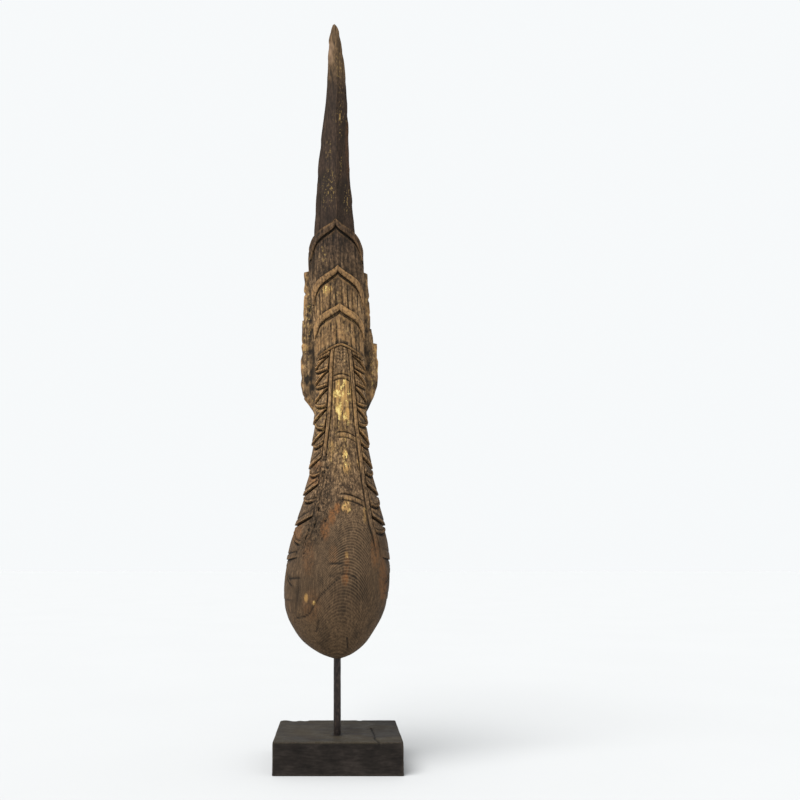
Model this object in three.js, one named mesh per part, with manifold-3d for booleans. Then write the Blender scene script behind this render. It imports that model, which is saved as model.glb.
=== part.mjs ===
// Carved timber roof finial, held over a black wooden block by a steel rod.
// Millimetres, +Z up. The carved front looks along -Y. The origin is the middle of the block's underside.

import * as THREE from "three";
import { mergeVertices } from "three/addons/utils/BufferGeometryUtils.js";
import Module from "manifold-3d";

const wasm = await Module();
wasm.setup();

const { clamp, degToRad, lerp, smoothstep } = THREE.MathUtils;

// Stand

const BLOCK_WIDTH = 160;
const BLOCK_DEPTH = 140;
const BLOCK_HEIGHT = 39;
const BLOCK_CHAMFER = 1.6;
const ROD_RADIUS = 4.7;
const ROD_X = -1;
const ROD_Y = -27;
const ROD_SIDES = 20;
const ROD_IN_BLOCK = 24;
const ROD_IN_TIMBER = 34;
const SOCKET_GAP = 0.3;

// Outline of the carving: each station is a height and a size at that height

const FOOT_Z = 130.5;
const TIP_Z = 1068;
const TURN = degToRad(4);

const centreX = profile([
  [FOOT_Z, -1], [165, -4.6], [250, 0], [340, 3.7], [450, 3.5],
  [560, 1.5], [680, -2.4], [817, -6.5], [971, -2.2], [TIP_Z, -5.6],
]);

// The body is the breast, neck and sheaths. The horn rises out of the top sheath.

const bodyHalfWidth = profile([
  [FOOT_Z, 0], [134.4, 13.5], [139, 23.4], [147, 35.2], [154, 42.8], [169, 53.7], [184, 62], [199, 66.7],
  [230, 69.6], [277, 65.4], [310, 57.7], [343, 50.2], [376, 43.4], [410, 39.4], [450, 36.8], [530, 36],
  [600, 38], [683, 40.6], [760, 41],
]);
const bodyFrontY = profile([
  [FOOT_Z, -27], [134.4, -37], [139, -44], [154, -58], [169, -66], [199, -74], [226, -76], [277, -66],
  [310, -55], [343, -44], [376, -35], [410, -28], [445, -24], [528, -21], [617, -17], [677, -13], [760, -8],
]);
const bodySideY = profile([
  [FOOT_Z, -27], [154, -22], [246, -14], [343, -2], [410, 6], [480, 11], [600, 15], [760, 19],
]);
const bodyBackY = profile([
  [FOOT_Z, -27], [134.4, -17], [139, -8], [154, 10], [169, 20], [199, 32], [230, 38], [277, 42], [343, 44],
  [410, 47], [460, 50], [528, 58], [600, 60], [660, 57], [760, 50],
]);
const hornHalfWidth = profile([
  [660, 35], [740, 30.1], [817, 25.2], [875, 21.5], [924, 18.4], [971, 15.1], [1008, 13.1], [1027, 11.1],
  [1045, 8.6], [1060, 5.7], [TIP_Z, 2],
]);
const hornFrontY = profile([
  [660, 8], [753, 4.5], [817, 2], [875, 0], [924, -3], [971, -7], [1008, -11], [1045, -15], [TIP_Z, -14],
]);
const hornSideY = profile([
  [660, 20], [817, 18], [875, 15], [924, 11], [971, 5.5], [1008, 0.5], [1045, -6.5], [TIP_Z, -12],
]);
const hornBackY = profile([
  [660, 47], [753, 43], [817, 37], [875, 31], [924, 24], [971, 17], [1008, 10], [1045, 1.5], [TIP_Z, -10],
]);

// Roundness of the front: 2 is an ellipse, 1 a diamond, more is squarer

const BODY_BACK_ROUNDNESS = 2.2;
const HORN_FRONT_ROUNDNESS = 1.3;
const HORN_BACK_ROUNDNESS = 1.7;
const bodyFrontRoundness = profile([
  [FOOT_Z, 2], [250, 2.1], [380, 2.4], [450, 2.6], [545, 2.6], [600, 2], [702, 1.8],
]);

// Pointed sheaths one above another. "foot" is where an edge meets the flank, "rise" its point above that.

const SHEATHS = [
  { foot: 702, rise: 51, rim: 10.5 },
  { foot: 628, rise: 49, rim: 8.5 },
  { foot: 575, rise: 42, rim: 7 },
  { foot: 536, rise: 20, rim: 4 },
];
const LOWEST_SHEATH = SHEATHS[SHEATHS.length - 1];
const POINTED_SHEATHS = SHEATHS.slice(0, -1);
const SHEATH_STEP = 2.7;
const RIM_RISE = 1.5;
const RIM_INSET = 0.92;
const RIM_GROOVE_WIDTH = 2.6;
const RIM_GROOVE_DEPTH = 1.5;
const FLUTE_DEPTH = 1.2;
const HORN_FREE_FOOT = 880;

// Plates of the hood, which stand out behind the neck on both flanks

const PLATE_FOOT = 455;
const RIGHT_PLATES = [
  { foot: 590, top: 676, reach: profile([[590, 49.6], [629, 47.8], [676, 45]]) },
  { foot: 568, top: 590, reach: profile([[568, 52], [590, 51.6]]) },
  {
    foot: PLATE_FOOT, top: 568,
    reach: profile([
      [PLATE_FOOT, 38], [463, 41.4], [474, 47], [484, 51.8], [493, 55.4], [510, 58.6],
      [528, 59.7], [568, 57.4],
    ]),
  },
];
const LEFT_PLATES = [
  { foot: 601, top: 676, reach: profile([[601, 50.8], [676, 49.6]]) },
  {
    foot: PLATE_FOOT, top: 601,
    reach: profile([
      [PLATE_FOOT, 32], [463, 34.8], [474, 41.8], [484, 49], [493, 52.2], [528, 53.7],
      [565, 53], [601, 52.8],
    ]),
  },
];
const PLATE_BACK_SHARE = 0;
const PLATE_FRONT_ANGLE = degToRad(97);
const PLATE_POINT_ANGLE = degToRad(110);
const PLATE_FALL = 26;

// Neck: a belly panel between two ridges, with rows of leaves on the flanks

const NECK_ARC_RISE = 27;
const NECK_FOOT = 330;
const NECK_FALL = 18;
const BREAST_TOP = 215;
const RIDGE_WIDTH = 5.6;
const RIDGE_RISE = 1.7;
const RIDGE_END = 250;
const panelHalfWidth = profile([
  [240, 54], [275, 45], [295, 38.5], [335, 32], [376, 26.2], [431, 18.8], [517, 13], [545, 9],
]);
const BELLY_BANDS = [484, 477, 401.5, 394, 316, 308.5];
const BAND_WIDTH = 2.6;
const BAND_DEPTH = 1.3;
const LEAF_TOP = 541;
const LEAF_PITCH = 20.5;
const LEAF_GROWTH = 1.105;
const LEAF_COUNT = 9;
const LEAF_RISE = 3.2;
const LEAF_SUNK_SHARE = 0.35;
const LEAF_EDGES = leafEdges();

// Mesh of the carving: columns from the middle of the front to the middle of the back, on each side

const PANEL_COLUMNS = 5;
const RIDGE_COLUMNS = 3;
const FLANK_COLUMNS = 6;
const FRONT_COLUMNS = PANEL_COLUMNS + RIDGE_COLUMNS + FLANK_COLUMNS;
const BACK_ANGLES = [97, 104, 116, 130, 144, 156, 168, 180].map(degToRad);
const SIDE_COLUMNS = FRONT_COLUMNS + BACK_ANGLES.length;
const BORDER_COLUMN = FRONT_COLUMNS - 2;
const STEP_GAP = 0.45;

// A smooth curve through [height, value] stations that never overshoots them

function profile(stations) {
  const slopes = stations.slice(1).map(([z, value], i) => (value - stations[i][1]) / (z - stations[i][0]));
  const tangents = stations.map((_, i) => {
    const below = slopes[Math.max(i - 1, 0)];
    const above = slopes[Math.min(i, slopes.length - 1)];
    return below * above <= 0 ? 0 : (2 * below * above) / (below + above);
  });
  return (height) => {
    const z = clamp(height, stations[0][0], stations[stations.length - 1][0]);
    const i = clamp(stations.findIndex((station) => station[0] >= z) - 1, 0, slopes.length - 1);
    const span = stations[i + 1][0] - stations[i][0];
    const t = (z - stations[i][0]) / span;
    const t2 = t * t;
    const t3 = t2 * t;
    return (2 * t3 - 3 * t2 + 1) * stations[i][1] + (t3 - 2 * t2 + t) * span * tangents[i]
      + (3 * t2 - 2 * t3) * stations[i + 1][1] + (t3 - t2) * span * tangents[i + 1];
  };
}

// Heights of the leaves' lower edges: each leaf is longer than the one above it

function leafEdges() {
  const edges = [LEAF_TOP];
  for (let i = 0; i < LEAF_COUNT; i += 1) {
    edges.push(edges[i] - LEAF_PITCH * LEAF_GROWTH ** i);
  }
  return edges;
}

// How far the rows of carving stand above their flank height in the middle of the front

const rowRise = profile([
  [BREAST_TOP, 0], [NECK_FOOT, NECK_ARC_RISE], [515, NECK_ARC_RISE],
  ...SHEATHS.map(({ foot, rise }) => [foot, rise]).reverse(),
  [740, 40], [830, 10], [HORN_FREE_FOOT, 0],
]);
const rowInset = profile([
  [LEAF_TOP, 1],
  ...POINTED_SHEATHS.toReversed().flatMap(({ foot, rim }) => [
    [foot - rim - RIM_GROOVE_WIDTH, RIM_INSET], [foot - rim, RIM_INSET], [foot, 1],
  ]),
]);
const rowBow = profile([[400, 1.5], [500, 1.35], [LOWEST_SHEATH.foot, 1]]);
const backFall = profile([
  [BREAST_TOP, 0], [NECK_FOOT, NECK_FALL], [520, NECK_FALL], [575, PLATE_FALL], [702, PLATE_FALL],
  [760, 12], [HORN_FREE_FOOT, 0],
]);

// Share of the rise that is lost at q, from 0 in the middle to 1 at the flank

function ogee(q) {
  return 0.06 * (1 - Math.exp(-10 * q)) + 0.48 * q + 0.46 * q ** 8;
}

function rowHeight(flankHeight, angle) {
  if (angle > PLATE_POINT_ANGLE) {
    const q = (angle - PLATE_POINT_ANGLE) / (Math.PI - PLATE_POINT_ANGLE);
    return flankHeight - backFall(flankHeight) * ogee(q);
  }
  const across = Math.sin(Math.min(angle, Math.PI / 2));
  const q = Math.min(across / rowInset(flankHeight), 1);
  const pointed = smoothstep(flankHeight, LOWEST_SHEATH.foot + 1, LOWEST_SHEATH.foot + 16);
  return flankHeight + rowRise(flankHeight) * (1 - lerp(q ** rowBow(flankHeight), ogee(q), pointed));
}

// The sheath a row lies on, counted from the top: the horn comes before the first, the neck is on the last

function sheathOf(flankHeight) {
  const next = SHEATHS.findIndex(({ foot }) => flankHeight > foot);
  return next < 0 ? SHEATHS.length - 1 : next - 1;
}

// The plain section at a height: half-width, front, widest and back, for the horn or one of the sheaths

function section(z, sheath) {
  if (sheath < 0) {
    return {
      half: hornHalfWidth(z), front: hornFrontY(z), side: hornSideY(z), back: hornBackY(z),
      frontRoundness: HORN_FRONT_ROUNDNESS, backRoundness: HORN_BACK_ROUNDNESS,
    };
  }
  return {
    half: bodyHalfWidth(z), front: bodyFrontY(z) + SHEATH_STEP * (SHEATHS.length - 1 - sheath),
    side: bodySideY(z), back: bodyBackY(z),
    frontRoundness: bodyFrontRoundness(z), backRoundness: BODY_BACK_ROUNDNESS,
  };
}

function angleAtHalfWidth(x, { half, frontRoundness }) {
  return Math.asin(clamp(x / half, 0, 1) ** (frontRoundness / 2));
}

// Angle of a column from the middle of the front: on the neck the columns follow the ridges

function columnAngle(column, flankHeight) {
  if (column > FRONT_COLUMNS) {
    return BACK_ANGLES[column - FRONT_COLUMNS - 1];
  }
  const quarter = Math.PI / 2;
  const even = quarter * (column / FRONT_COLUMNS);
  const shape = section(flankHeight, SHEATHS.length - 1);
  const panel = Math.min(panelHalfWidth(flankHeight), 0.8 * shape.half);
  const ridgeFoot = panel - RIDGE_WIDTH / 2;
  let neck;
  if (column <= PANEL_COLUMNS) {
    neck = angleAtHalfWidth(ridgeFoot * (column / PANEL_COLUMNS), shape);
  } else if (column <= PANEL_COLUMNS + RIDGE_COLUMNS) {
    neck = angleAtHalfWidth(ridgeFoot + (RIDGE_WIDTH * (column - PANEL_COLUMNS)) / RIDGE_COLUMNS, shape);
  } else {
    const outerFoot = angleAtHalfWidth(ridgeFoot + RIDGE_WIDTH, shape);
    neck = lerp(outerFoot, quarter, (column - PANEL_COLUMNS - RIDGE_COLUMNS) / FLANK_COLUMNS);
  }
  const neckTop = LOWEST_SHEATH.foot - LOWEST_SHEATH.rim;
  const underSheath = 1 - smoothstep(flankHeight, neckTop, LOWEST_SHEATH.foot);
  return lerp(even, neck, underSheath * smoothstep(flankHeight, 200, 260));
}

// Relief of a pointed sheath: a raised rim along its edge, a groove under the rim and flutes below

function sheathRelief(flankHeight, sheath, column, angle) {
  const { foot, rim } = SHEATHS[sheath];
  const onFront = 1 - smoothstep(angle, degToRad(80), degToRad(92));
  const below = foot - flankHeight;
  if (below < rim) {
    return RIM_RISE * onFront;
  }
  if (below < rim + RIM_GROOVE_WIDTH) {
    return column < BORDER_COLUMN ? -RIM_GROOVE_DEPTH : 0;
  }
  if (column >= BORDER_COLUMN) {
    return sheath === 0 ? RIM_RISE * onFront : 0;
  }
  return column % 2 === 1 ? -FLUTE_DEPTH : 0;
}

// Relief of the neck: ridges beside the belly panel, bands cut across it, overlapping leaves on the flanks

function neckRelief(flankHeight, column) {
  const ridgeShare = smoothstep(flankHeight, RIDGE_END, RIDGE_END + 30);
  if (column > PANEL_COLUMNS && column < PANEL_COLUMNS + RIDGE_COLUMNS) {
    return RIDGE_RISE * ridgeShare;
  }
  if (column <= PANEL_COLUMNS) {
    const inBand = BELLY_BANDS.some((band) => Math.abs(flankHeight - band) < BAND_WIDTH / 4);
    return inBand && column < PANEL_COLUMNS ? -BAND_DEPTH : 0;
  }
  const leaf = LEAF_EDGES.findIndex((edge) => flankHeight > edge);
  const lastColumn = flankHeight > PLATE_FOOT ? FRONT_COLUMNS - 1 : SIDE_COLUMNS - 4;
  if (leaf < 1 || column === PANEL_COLUMNS + RIDGE_COLUMNS || column > lastColumn) {
    return 0;
  }
  const down = (LEAF_EDGES[leaf - 1] - flankHeight) / (LEAF_EDGES[leaf - 1] - LEAF_EDGES[leaf]);
  return LEAF_RISE * (down - LEAF_SUNK_SHARE);
}

// How far the hood's plates stand out sideways from the plain section

function plateStandOut(flankHeight, side, plainReach, angle) {
  const plates = side > 0 ? RIGHT_PLATES : LEFT_PLATES;
  const plate = plates.find(({ foot, top }) => flankHeight > foot && flankHeight <= top);
  if (!plate || angle < PLATE_FRONT_ANGLE) {
    return 0;
  }
  const towardsBack = smoothstep(angle, degToRad(118), Math.PI);
  return Math.max(plate.reach(flankHeight) - plainReach, 0) * lerp(1, PLATE_BACK_SHARE, towardsBack);
}

// A point of the carved surface, on the side of +X or of -X

function surfacePoint(flankHeight, column, side) {
  const sheath = sheathOf(flankHeight);
  const angle = columnAngle(column, flankHeight);
  const z = rowHeight(flankHeight, angle);
  const { half, front, side: sideY, back, frontRoundness, backRoundness } = section(z, sheath);
  const isFront = angle <= Math.PI / 2;
  const depth = isFront ? sideY - front : back - sideY;
  const power = 2 / (isFront ? frontRoundness : backRoundness);
  const across = Math.sin(angle) ** power;
  const along = Math.abs(Math.cos(angle)) ** power * (isFront ? -1 : 1);
  const point = new THREE.Vector2(half * across, depth * along);
  const normal = new THREE.Vector2(Math.sin(angle) * depth, -Math.cos(angle) * half).normalize();
  if (sheath >= 0) {
    const onNeck = flankHeight < LOWEST_SHEATH.foot - LOWEST_SHEATH.rim - RIM_GROOVE_WIDTH;
    const onSheath = sheathRelief(flankHeight, sheath, column, angle);
    const relief = onNeck ? neckRelief(flankHeight, column) : onSheath;
    const outward = new THREE.Vector2(Math.sin(angle), Math.max(-Math.cos(angle), 0)).normalize();
    point.addScaledVector(normal, relief);
    point.addScaledVector(outward, plateStandOut(flankHeight, side, half + side * centreX(z), angle));
  }
  point.x *= side;
  point.rotateAround(new THREE.Vector2(), TURN);
  return new THREE.Vector3(centreX(z) + point.x, sideY + point.y, z);
}

// Flank heights of the rows, from the tip down, with a pair of rows at each step of the carving

function carvingRows() {
  const smooth = [
    1066, 1060, 1050, 1036, 1020, 1002, 975, 935, 890, 845, 800, 765, 735, 715, 660, 585, 510,
    249, 238, 224, 210, 196, 184, 172, 162, 154, 147, 140.5, 135.5, 132,
  ];
  const plateTops = [...new Set([...RIGHT_PLATES, ...LEFT_PLATES].map(({ top }) => top))];
  const steps = [...plateTops, ...SHEATHS.map(({ foot }) => foot), ...LEAF_EDGES.slice(1)];
  for (const { foot, rim } of SHEATHS) {
    steps.push(foot - rim, foot - rim - RIM_GROOVE_WIDTH);
  }
  const leafMiddles = LEAF_EDGES.slice(2).map((edge, i) => lerp(LEAF_EDGES[i + 1], edge, 0.55));
  const bands = BELLY_BANDS.flatMap((band) => [band + BAND_WIDTH / 2, band, band - BAND_WIDTH / 2]);
  const lobe = [463, 470, 487, 495];
  const rows = [...smooth, ...leafMiddles, ...bands, ...lobe];
  for (const step of steps) {
    rows.push(step + STEP_GAP, step - STEP_GAP);
  }
  rows.sort((a, b) => b - a);
  return rows.filter((w, i) => i === 0 || rows[i - 1] - w > STEP_GAP);
}

// The carving as a closed skin: a sphere's net of rows and columns drawn onto the carved surface

function carvedGeometry() {
  const rows = carvingRows();
  const columns = 2 * SIDE_COLUMNS;
  const geometry = new THREE.SphereGeometry(1, columns, rows.length + 1);
  const position = geometry.attributes.position;
  const tip = new THREE.Vector3(centreX(TIP_Z), hornSideY(TIP_Z), TIP_Z);
  const foot = new THREE.Vector3(centreX(FOOT_Z), bodySideY(FOOT_Z), FOOT_Z);
  for (let row = 0; row <= rows.length + 1; row += 1) {
    for (let column = 0; column <= columns; column += 1) {
      let point = row === 0 ? tip : foot;
      if (row > 0 && row <= rows.length) {
        const turned = column % columns;
        const side = turned > SIDE_COLUMNS ? -1 : 1;
        point = surfacePoint(rows[row - 1], side > 0 ? turned : columns - turned, side);
      }
      position.setXYZ(row * (columns + 1) + column, point.x, point.y, point.z);
    }
  }
  return geometry;
}

// Solids for cutting, and back to a mesh's geometry

function toSolid(geometry) {
  const bare = geometry.clone();
  bare.deleteAttribute("normal");
  bare.deleteAttribute("uv");
  const merged = mergeVertices(bare, 1e-4);
  return new wasm.Manifold(new wasm.Mesh({
    numProp: 3,
    vertProperties: Float32Array.from(merged.attributes.position.array),
    triVerts: Uint32Array.from(merged.index.array),
  }));
}

function toGeometry(solid) {
  const { vertProperties, triVerts, numProp } = solid.getMesh();
  const geometry = new THREE.BufferGeometry();
  const positions = new Float32Array((vertProperties.length / numProp) * 3);
  for (let i = 0; i < positions.length; i += 1) {
    positions[i] = vertProperties[Math.floor(i / 3) * numProp + (i % 3)];
  }
  geometry.setAttribute("position", new THREE.BufferAttribute(positions, 3));
  geometry.setIndex(new THREE.BufferAttribute(Uint32Array.from(triVerts), 1));
  geometry.computeVertexNormals();
  return geometry;
}

// An upright round bar on the rod's axis

function roundBar(radius, bottom, top) {
  const geometry = new THREE.CylinderGeometry(radius, radius, top - bottom, ROD_SIDES);
  geometry.rotateX(Math.PI / 2);
  geometry.translate(ROD_X, ROD_Y, (bottom + top) / 2);
  return geometry;
}

function blockGeometry() {
  const x = BLOCK_WIDTH / 2 - BLOCK_CHAMFER;
  const y = BLOCK_DEPTH / 2 - BLOCK_CHAMFER;
  const corners = [[-x, -y], [x, -y], [x, y], [-x, y]];
  const outline = new THREE.Shape(corners.map(([px, py]) => new THREE.Vector2(px, py)));
  const geometry = new THREE.ExtrudeGeometry(outline, {
    depth: BLOCK_HEIGHT - 2 * BLOCK_CHAMFER,
    bevelEnabled: true,
    bevelThickness: BLOCK_CHAMFER,
    bevelSize: BLOCK_CHAMFER,
    bevelSegments: 1,
  });
  geometry.translate(0, 0, BLOCK_CHAMFER);
  return geometry;
}

// Materials

const weatheredTimber = new THREE.MeshStandardMaterial({ color: 0x5b4733, roughness: 0.8, metalness: 0 });
const darkSteel = new THREE.MeshStandardMaterial({ color: 0x2e2622, roughness: 0.55, metalness: 0.8 });
const blackPaint = new THREE.MeshStandardMaterial({ color: 0x2b2826, roughness: 0.75, metalness: 0 });

// The three pieces

const rodBottom = BLOCK_HEIGHT - ROD_IN_BLOCK;
const rodTop = FOOT_Z + ROD_IN_TIMBER;
const socketRadius = ROD_RADIUS + SOCKET_GAP;
const timberSocket = toSolid(roundBar(socketRadius, FOOT_Z - ROD_IN_TIMBER, rodTop + SOCKET_GAP));
const blockSocket = toSolid(roundBar(socketRadius, rodBottom - SOCKET_GAP, BLOCK_HEIGHT + ROD_IN_BLOCK));

function piece(name, geometry, material) {
  const mesh = new THREE.Mesh(geometry, material);
  mesh.name = name;
  return mesh;
}

const finial = new THREE.Group();
finial.add(
  piece("carved_finial", toGeometry(toSolid(carvedGeometry()).subtract(timberSocket)), weatheredTimber),
  piece("support_rod", roundBar(ROD_RADIUS, rodBottom, rodTop), darkSteel),
  piece("base_block", toGeometry(toSolid(blockGeometry()).subtract(blockSocket)), blackPaint),
);

export default finial;
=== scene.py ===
"""Visual model of a carved timber roof finial on a steel rod and a black wooden block.

The carving is a sphere's net of rows and columns drawn onto the same carved form as the solid, with finer
relief. Sizes are in millimetres until a mesh is written, and the carved front looks along -Y.
"""

import logging
import math
from collections.abc import Sequence
from dataclasses import dataclass
from enum import Enum

import bmesh
import bpy
import numpy as np
from mathutils import Matrix, Vector


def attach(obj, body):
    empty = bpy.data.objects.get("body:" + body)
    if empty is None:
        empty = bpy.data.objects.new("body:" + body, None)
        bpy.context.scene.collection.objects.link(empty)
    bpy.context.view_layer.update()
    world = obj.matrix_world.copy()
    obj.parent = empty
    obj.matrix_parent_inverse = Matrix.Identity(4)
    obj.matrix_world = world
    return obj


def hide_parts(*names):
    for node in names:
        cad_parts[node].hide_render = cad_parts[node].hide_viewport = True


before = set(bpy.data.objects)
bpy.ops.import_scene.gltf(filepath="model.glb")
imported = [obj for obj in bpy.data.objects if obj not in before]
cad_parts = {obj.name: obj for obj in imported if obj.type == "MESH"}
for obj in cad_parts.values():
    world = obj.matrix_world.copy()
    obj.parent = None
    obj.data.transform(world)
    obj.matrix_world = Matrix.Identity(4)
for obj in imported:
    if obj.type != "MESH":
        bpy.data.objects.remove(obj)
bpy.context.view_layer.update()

LOG = logging.getLogger("roof_finial")
MM = 0.001
QUARTER = math.pi / 2
BODY = "root"
TINY = 1e-9
FLANK_ANGLES = (math.radians(84), math.radians(96))
PATCH_BORDER = (0.55, 1.3)

# Numbers of the hash that gives each cell of a lattice its own random value
CELL_PRIMES = np.array([73856093, 19349663, 83492791], np.uint64)
SEED_STEP = np.uint64(2654435761)
MIX_FACTOR = np.uint64(0xFF51AFD7ED558CCD)
MIX_SHIFT = np.uint64(33)
MIX_ROUNDS = 2
CODE_BITS = 64
VALUE_BITS = 24

# Numbers of the colour sockets of a mix node
MIX_INPUTS = (0, 6, 7)
MIX_OUTPUT = 2

Array = np.ndarray
Triple = tuple[float, float, float]
Colour = Triple
Span = tuple[float, float]
Spread = tuple[float, float, float, float]


class Side(Enum):
    """The two sides of the carving, as the sign of X."""

    RIGHT = 1
    LEFT = -1


# Helpers for shaping arrays


def smoothstep(value: Array, low: float, high: float) -> Array:
    """Smooth rise from 0 at low to 1 at high."""
    share = np.clip((value - low) / (high - low), 0, 1)
    return share * share * (3 - 2 * share)


def lerp(start: Array | float, end: Array | float, share: Array | float) -> Array:
    """Straight blend from start to end."""
    return start + (end - start) * share


def notch(distance: Array, half_width: Array | float) -> Array:
    """A cut's depth, from 1 on its line to 0 at its borders."""
    return np.clip(1 - np.abs(distance) / half_width, 0, 1)


def strip(value: Array, low: float, high: float, soft: float) -> Array:
    """1 between low and high, with borders as wide as soft."""
    half = soft / 2
    return smoothstep(value, low - half, low + half) * (1 - smoothstep(value, high - half, high + half))


def lattice_value(cell: Array, seed: int) -> Array:
    """Fixed random value from -1 to 1 for each cell of a lattice.

    Args:
        cell: Whole-number places, with one column for each axis.
        seed: Number that tells one pattern from another.

    Returns:
        One value for each cell.
    """
    code = np.bitwise_xor.reduce(cell.astype(np.uint64) * CELL_PRIMES, axis=-1)
    code = code + np.uint64(seed) * SEED_STEP
    for _ in range(MIX_ROUNDS):
        code = (code ^ (code >> MIX_SHIFT)) * MIX_FACTOR
    return (code >> np.uint64(CODE_BITS - VALUE_BITS)).astype(float) / 2 ** (VALUE_BITS - 1) - 1


def blurred(values: Array, rows: int, columns: int) -> Array:
    """Mean of a net's values over a window, round the columns and along the rows.

    Args:
        values: One value for each row and column.
        rows: Rows in the window on each side.
        columns: Columns in the window on each side.

    Returns:
        The means, in the same shape.
    """
    padded = np.pad(values, ((rows, rows), (0, 0)), mode="edge")
    along = sum(padded[i : i + len(values)] for i in range(2 * rows + 1)) / (2 * rows + 1)
    return sum(np.roll(along, i, axis=1) for i in range(-columns, columns + 1)) / (2 * columns + 1)


@dataclass(frozen=True)
class Unevenness:
    """A fixed pattern of smooth random values: the length of its swings along X, Y and Z, and its seed."""

    size: Triple
    seed: int

    def at(self, places: Array) -> Array:
        """Values from -1 to 1.

        Args:
            places: Points in mm, with three columns.

        Returns:
            One value for each point.
        """
        points = places / np.array(self.size)
        cell = np.floor(points).astype(np.int64)
        share = points - cell
        share = share * share * (3 - 2 * share)
        total = np.zeros(points.shape[:-1])
        for corner in np.ndindex(2, 2, 2):
            weight = np.prod(np.where(corner, share, 1 - share), axis=-1)
            total += weight * lattice_value(cell + np.array(corner), self.seed)
        return total


@dataclass(frozen=True)
class Profile:
    """A smooth curve through (height, value) stations that never overshoots them."""

    stations: tuple[tuple[float, float], ...]

    def __call__(self, height: Array | float) -> Array:
        """Value of the curve.

        Args:
            height: Heights in mm. Past the ends the curve keeps its last value.

        Returns:
            One value for each height.
        """
        heights, values = np.array(self.stations, float).T
        spans = np.diff(heights)
        slopes = np.diff(values) / spans
        below = np.concatenate([slopes[:1], slopes])
        above = np.concatenate([slopes, slopes[-1:]])
        bends = below * above > 0
        tangents = np.where(bends, 2 * below * above / np.where(bends, below + above, 1), 0)
        z = np.clip(height, heights[0], heights[-1])
        i = np.clip(np.searchsorted(heights, z) - 1, 0, len(spans) - 1)
        t = (z - heights[i]) / spans[i]
        start = (2 * t**3 - 3 * t**2 + 1) * values[i] + (t**3 - 2 * t**2 + t) * spans[i] * tangents[i]
        end = (3 * t**2 - 2 * t**3) * values[i + 1] + (t**3 - t**2) * spans[i] * tangents[i + 1]
        return start + end


# The plain form of the carving


@dataclass(frozen=True)
class Sheath:
    """A pointed sheath: the height where its edge meets the flank, and the height of its rim."""

    foot: float
    rim: float


@dataclass(frozen=True)
class HoodPlate:
    """A plate of the hood: its lower and upper edge, and how far it stands from the middle."""

    foot: float
    top: float
    reach: Profile


@dataclass
class Section:
    """Level sections of the plain form, as arrays."""

    half: Array
    front: Array
    side: Array
    back: Array
    front_roundness: Array
    back_roundness: Array


@dataclass
class Spots:
    """Places on the plain form, as arrays with one value for each row and column of the net."""

    flank: Array
    column: Array
    side: Array
    sheath: Array
    angle: Array
    z: Array
    half: Array
    centre: Array
    side_y: Array
    across: Array
    along: Array
    normal: tuple[Array, Array]
    outward: tuple[Array, Array]
    turn: float

    def moved(self, relief: Array | float, stand_out: Array | float) -> Array:
        """Points with the carving's relief and the hood's plates.

        Args:
            relief: Distance along the section's normal, in mm.
            stand_out: Distance outwards to the flank, in mm.

        Returns:
            Points in mm, with three columns.
        """
        x = (self.across + self.normal[0] * relief + self.outward[0] * stand_out) * self.side
        y = self.along + self.normal[1] * relief + self.outward[1] * stand_out
        turned_x = x * math.cos(self.turn) - y * math.sin(self.turn)
        turned_y = x * math.sin(self.turn) + y * math.cos(self.turn)
        return np.stack([self.centre + turned_x, self.side_y + turned_y, self.z], axis=-1)

    @property
    def on_front(self) -> Array:
        """1 on the front, falling to 0 behind the flanks."""
        return 1 - smoothstep(self.angle, *FLANK_ANGLES)


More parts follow.
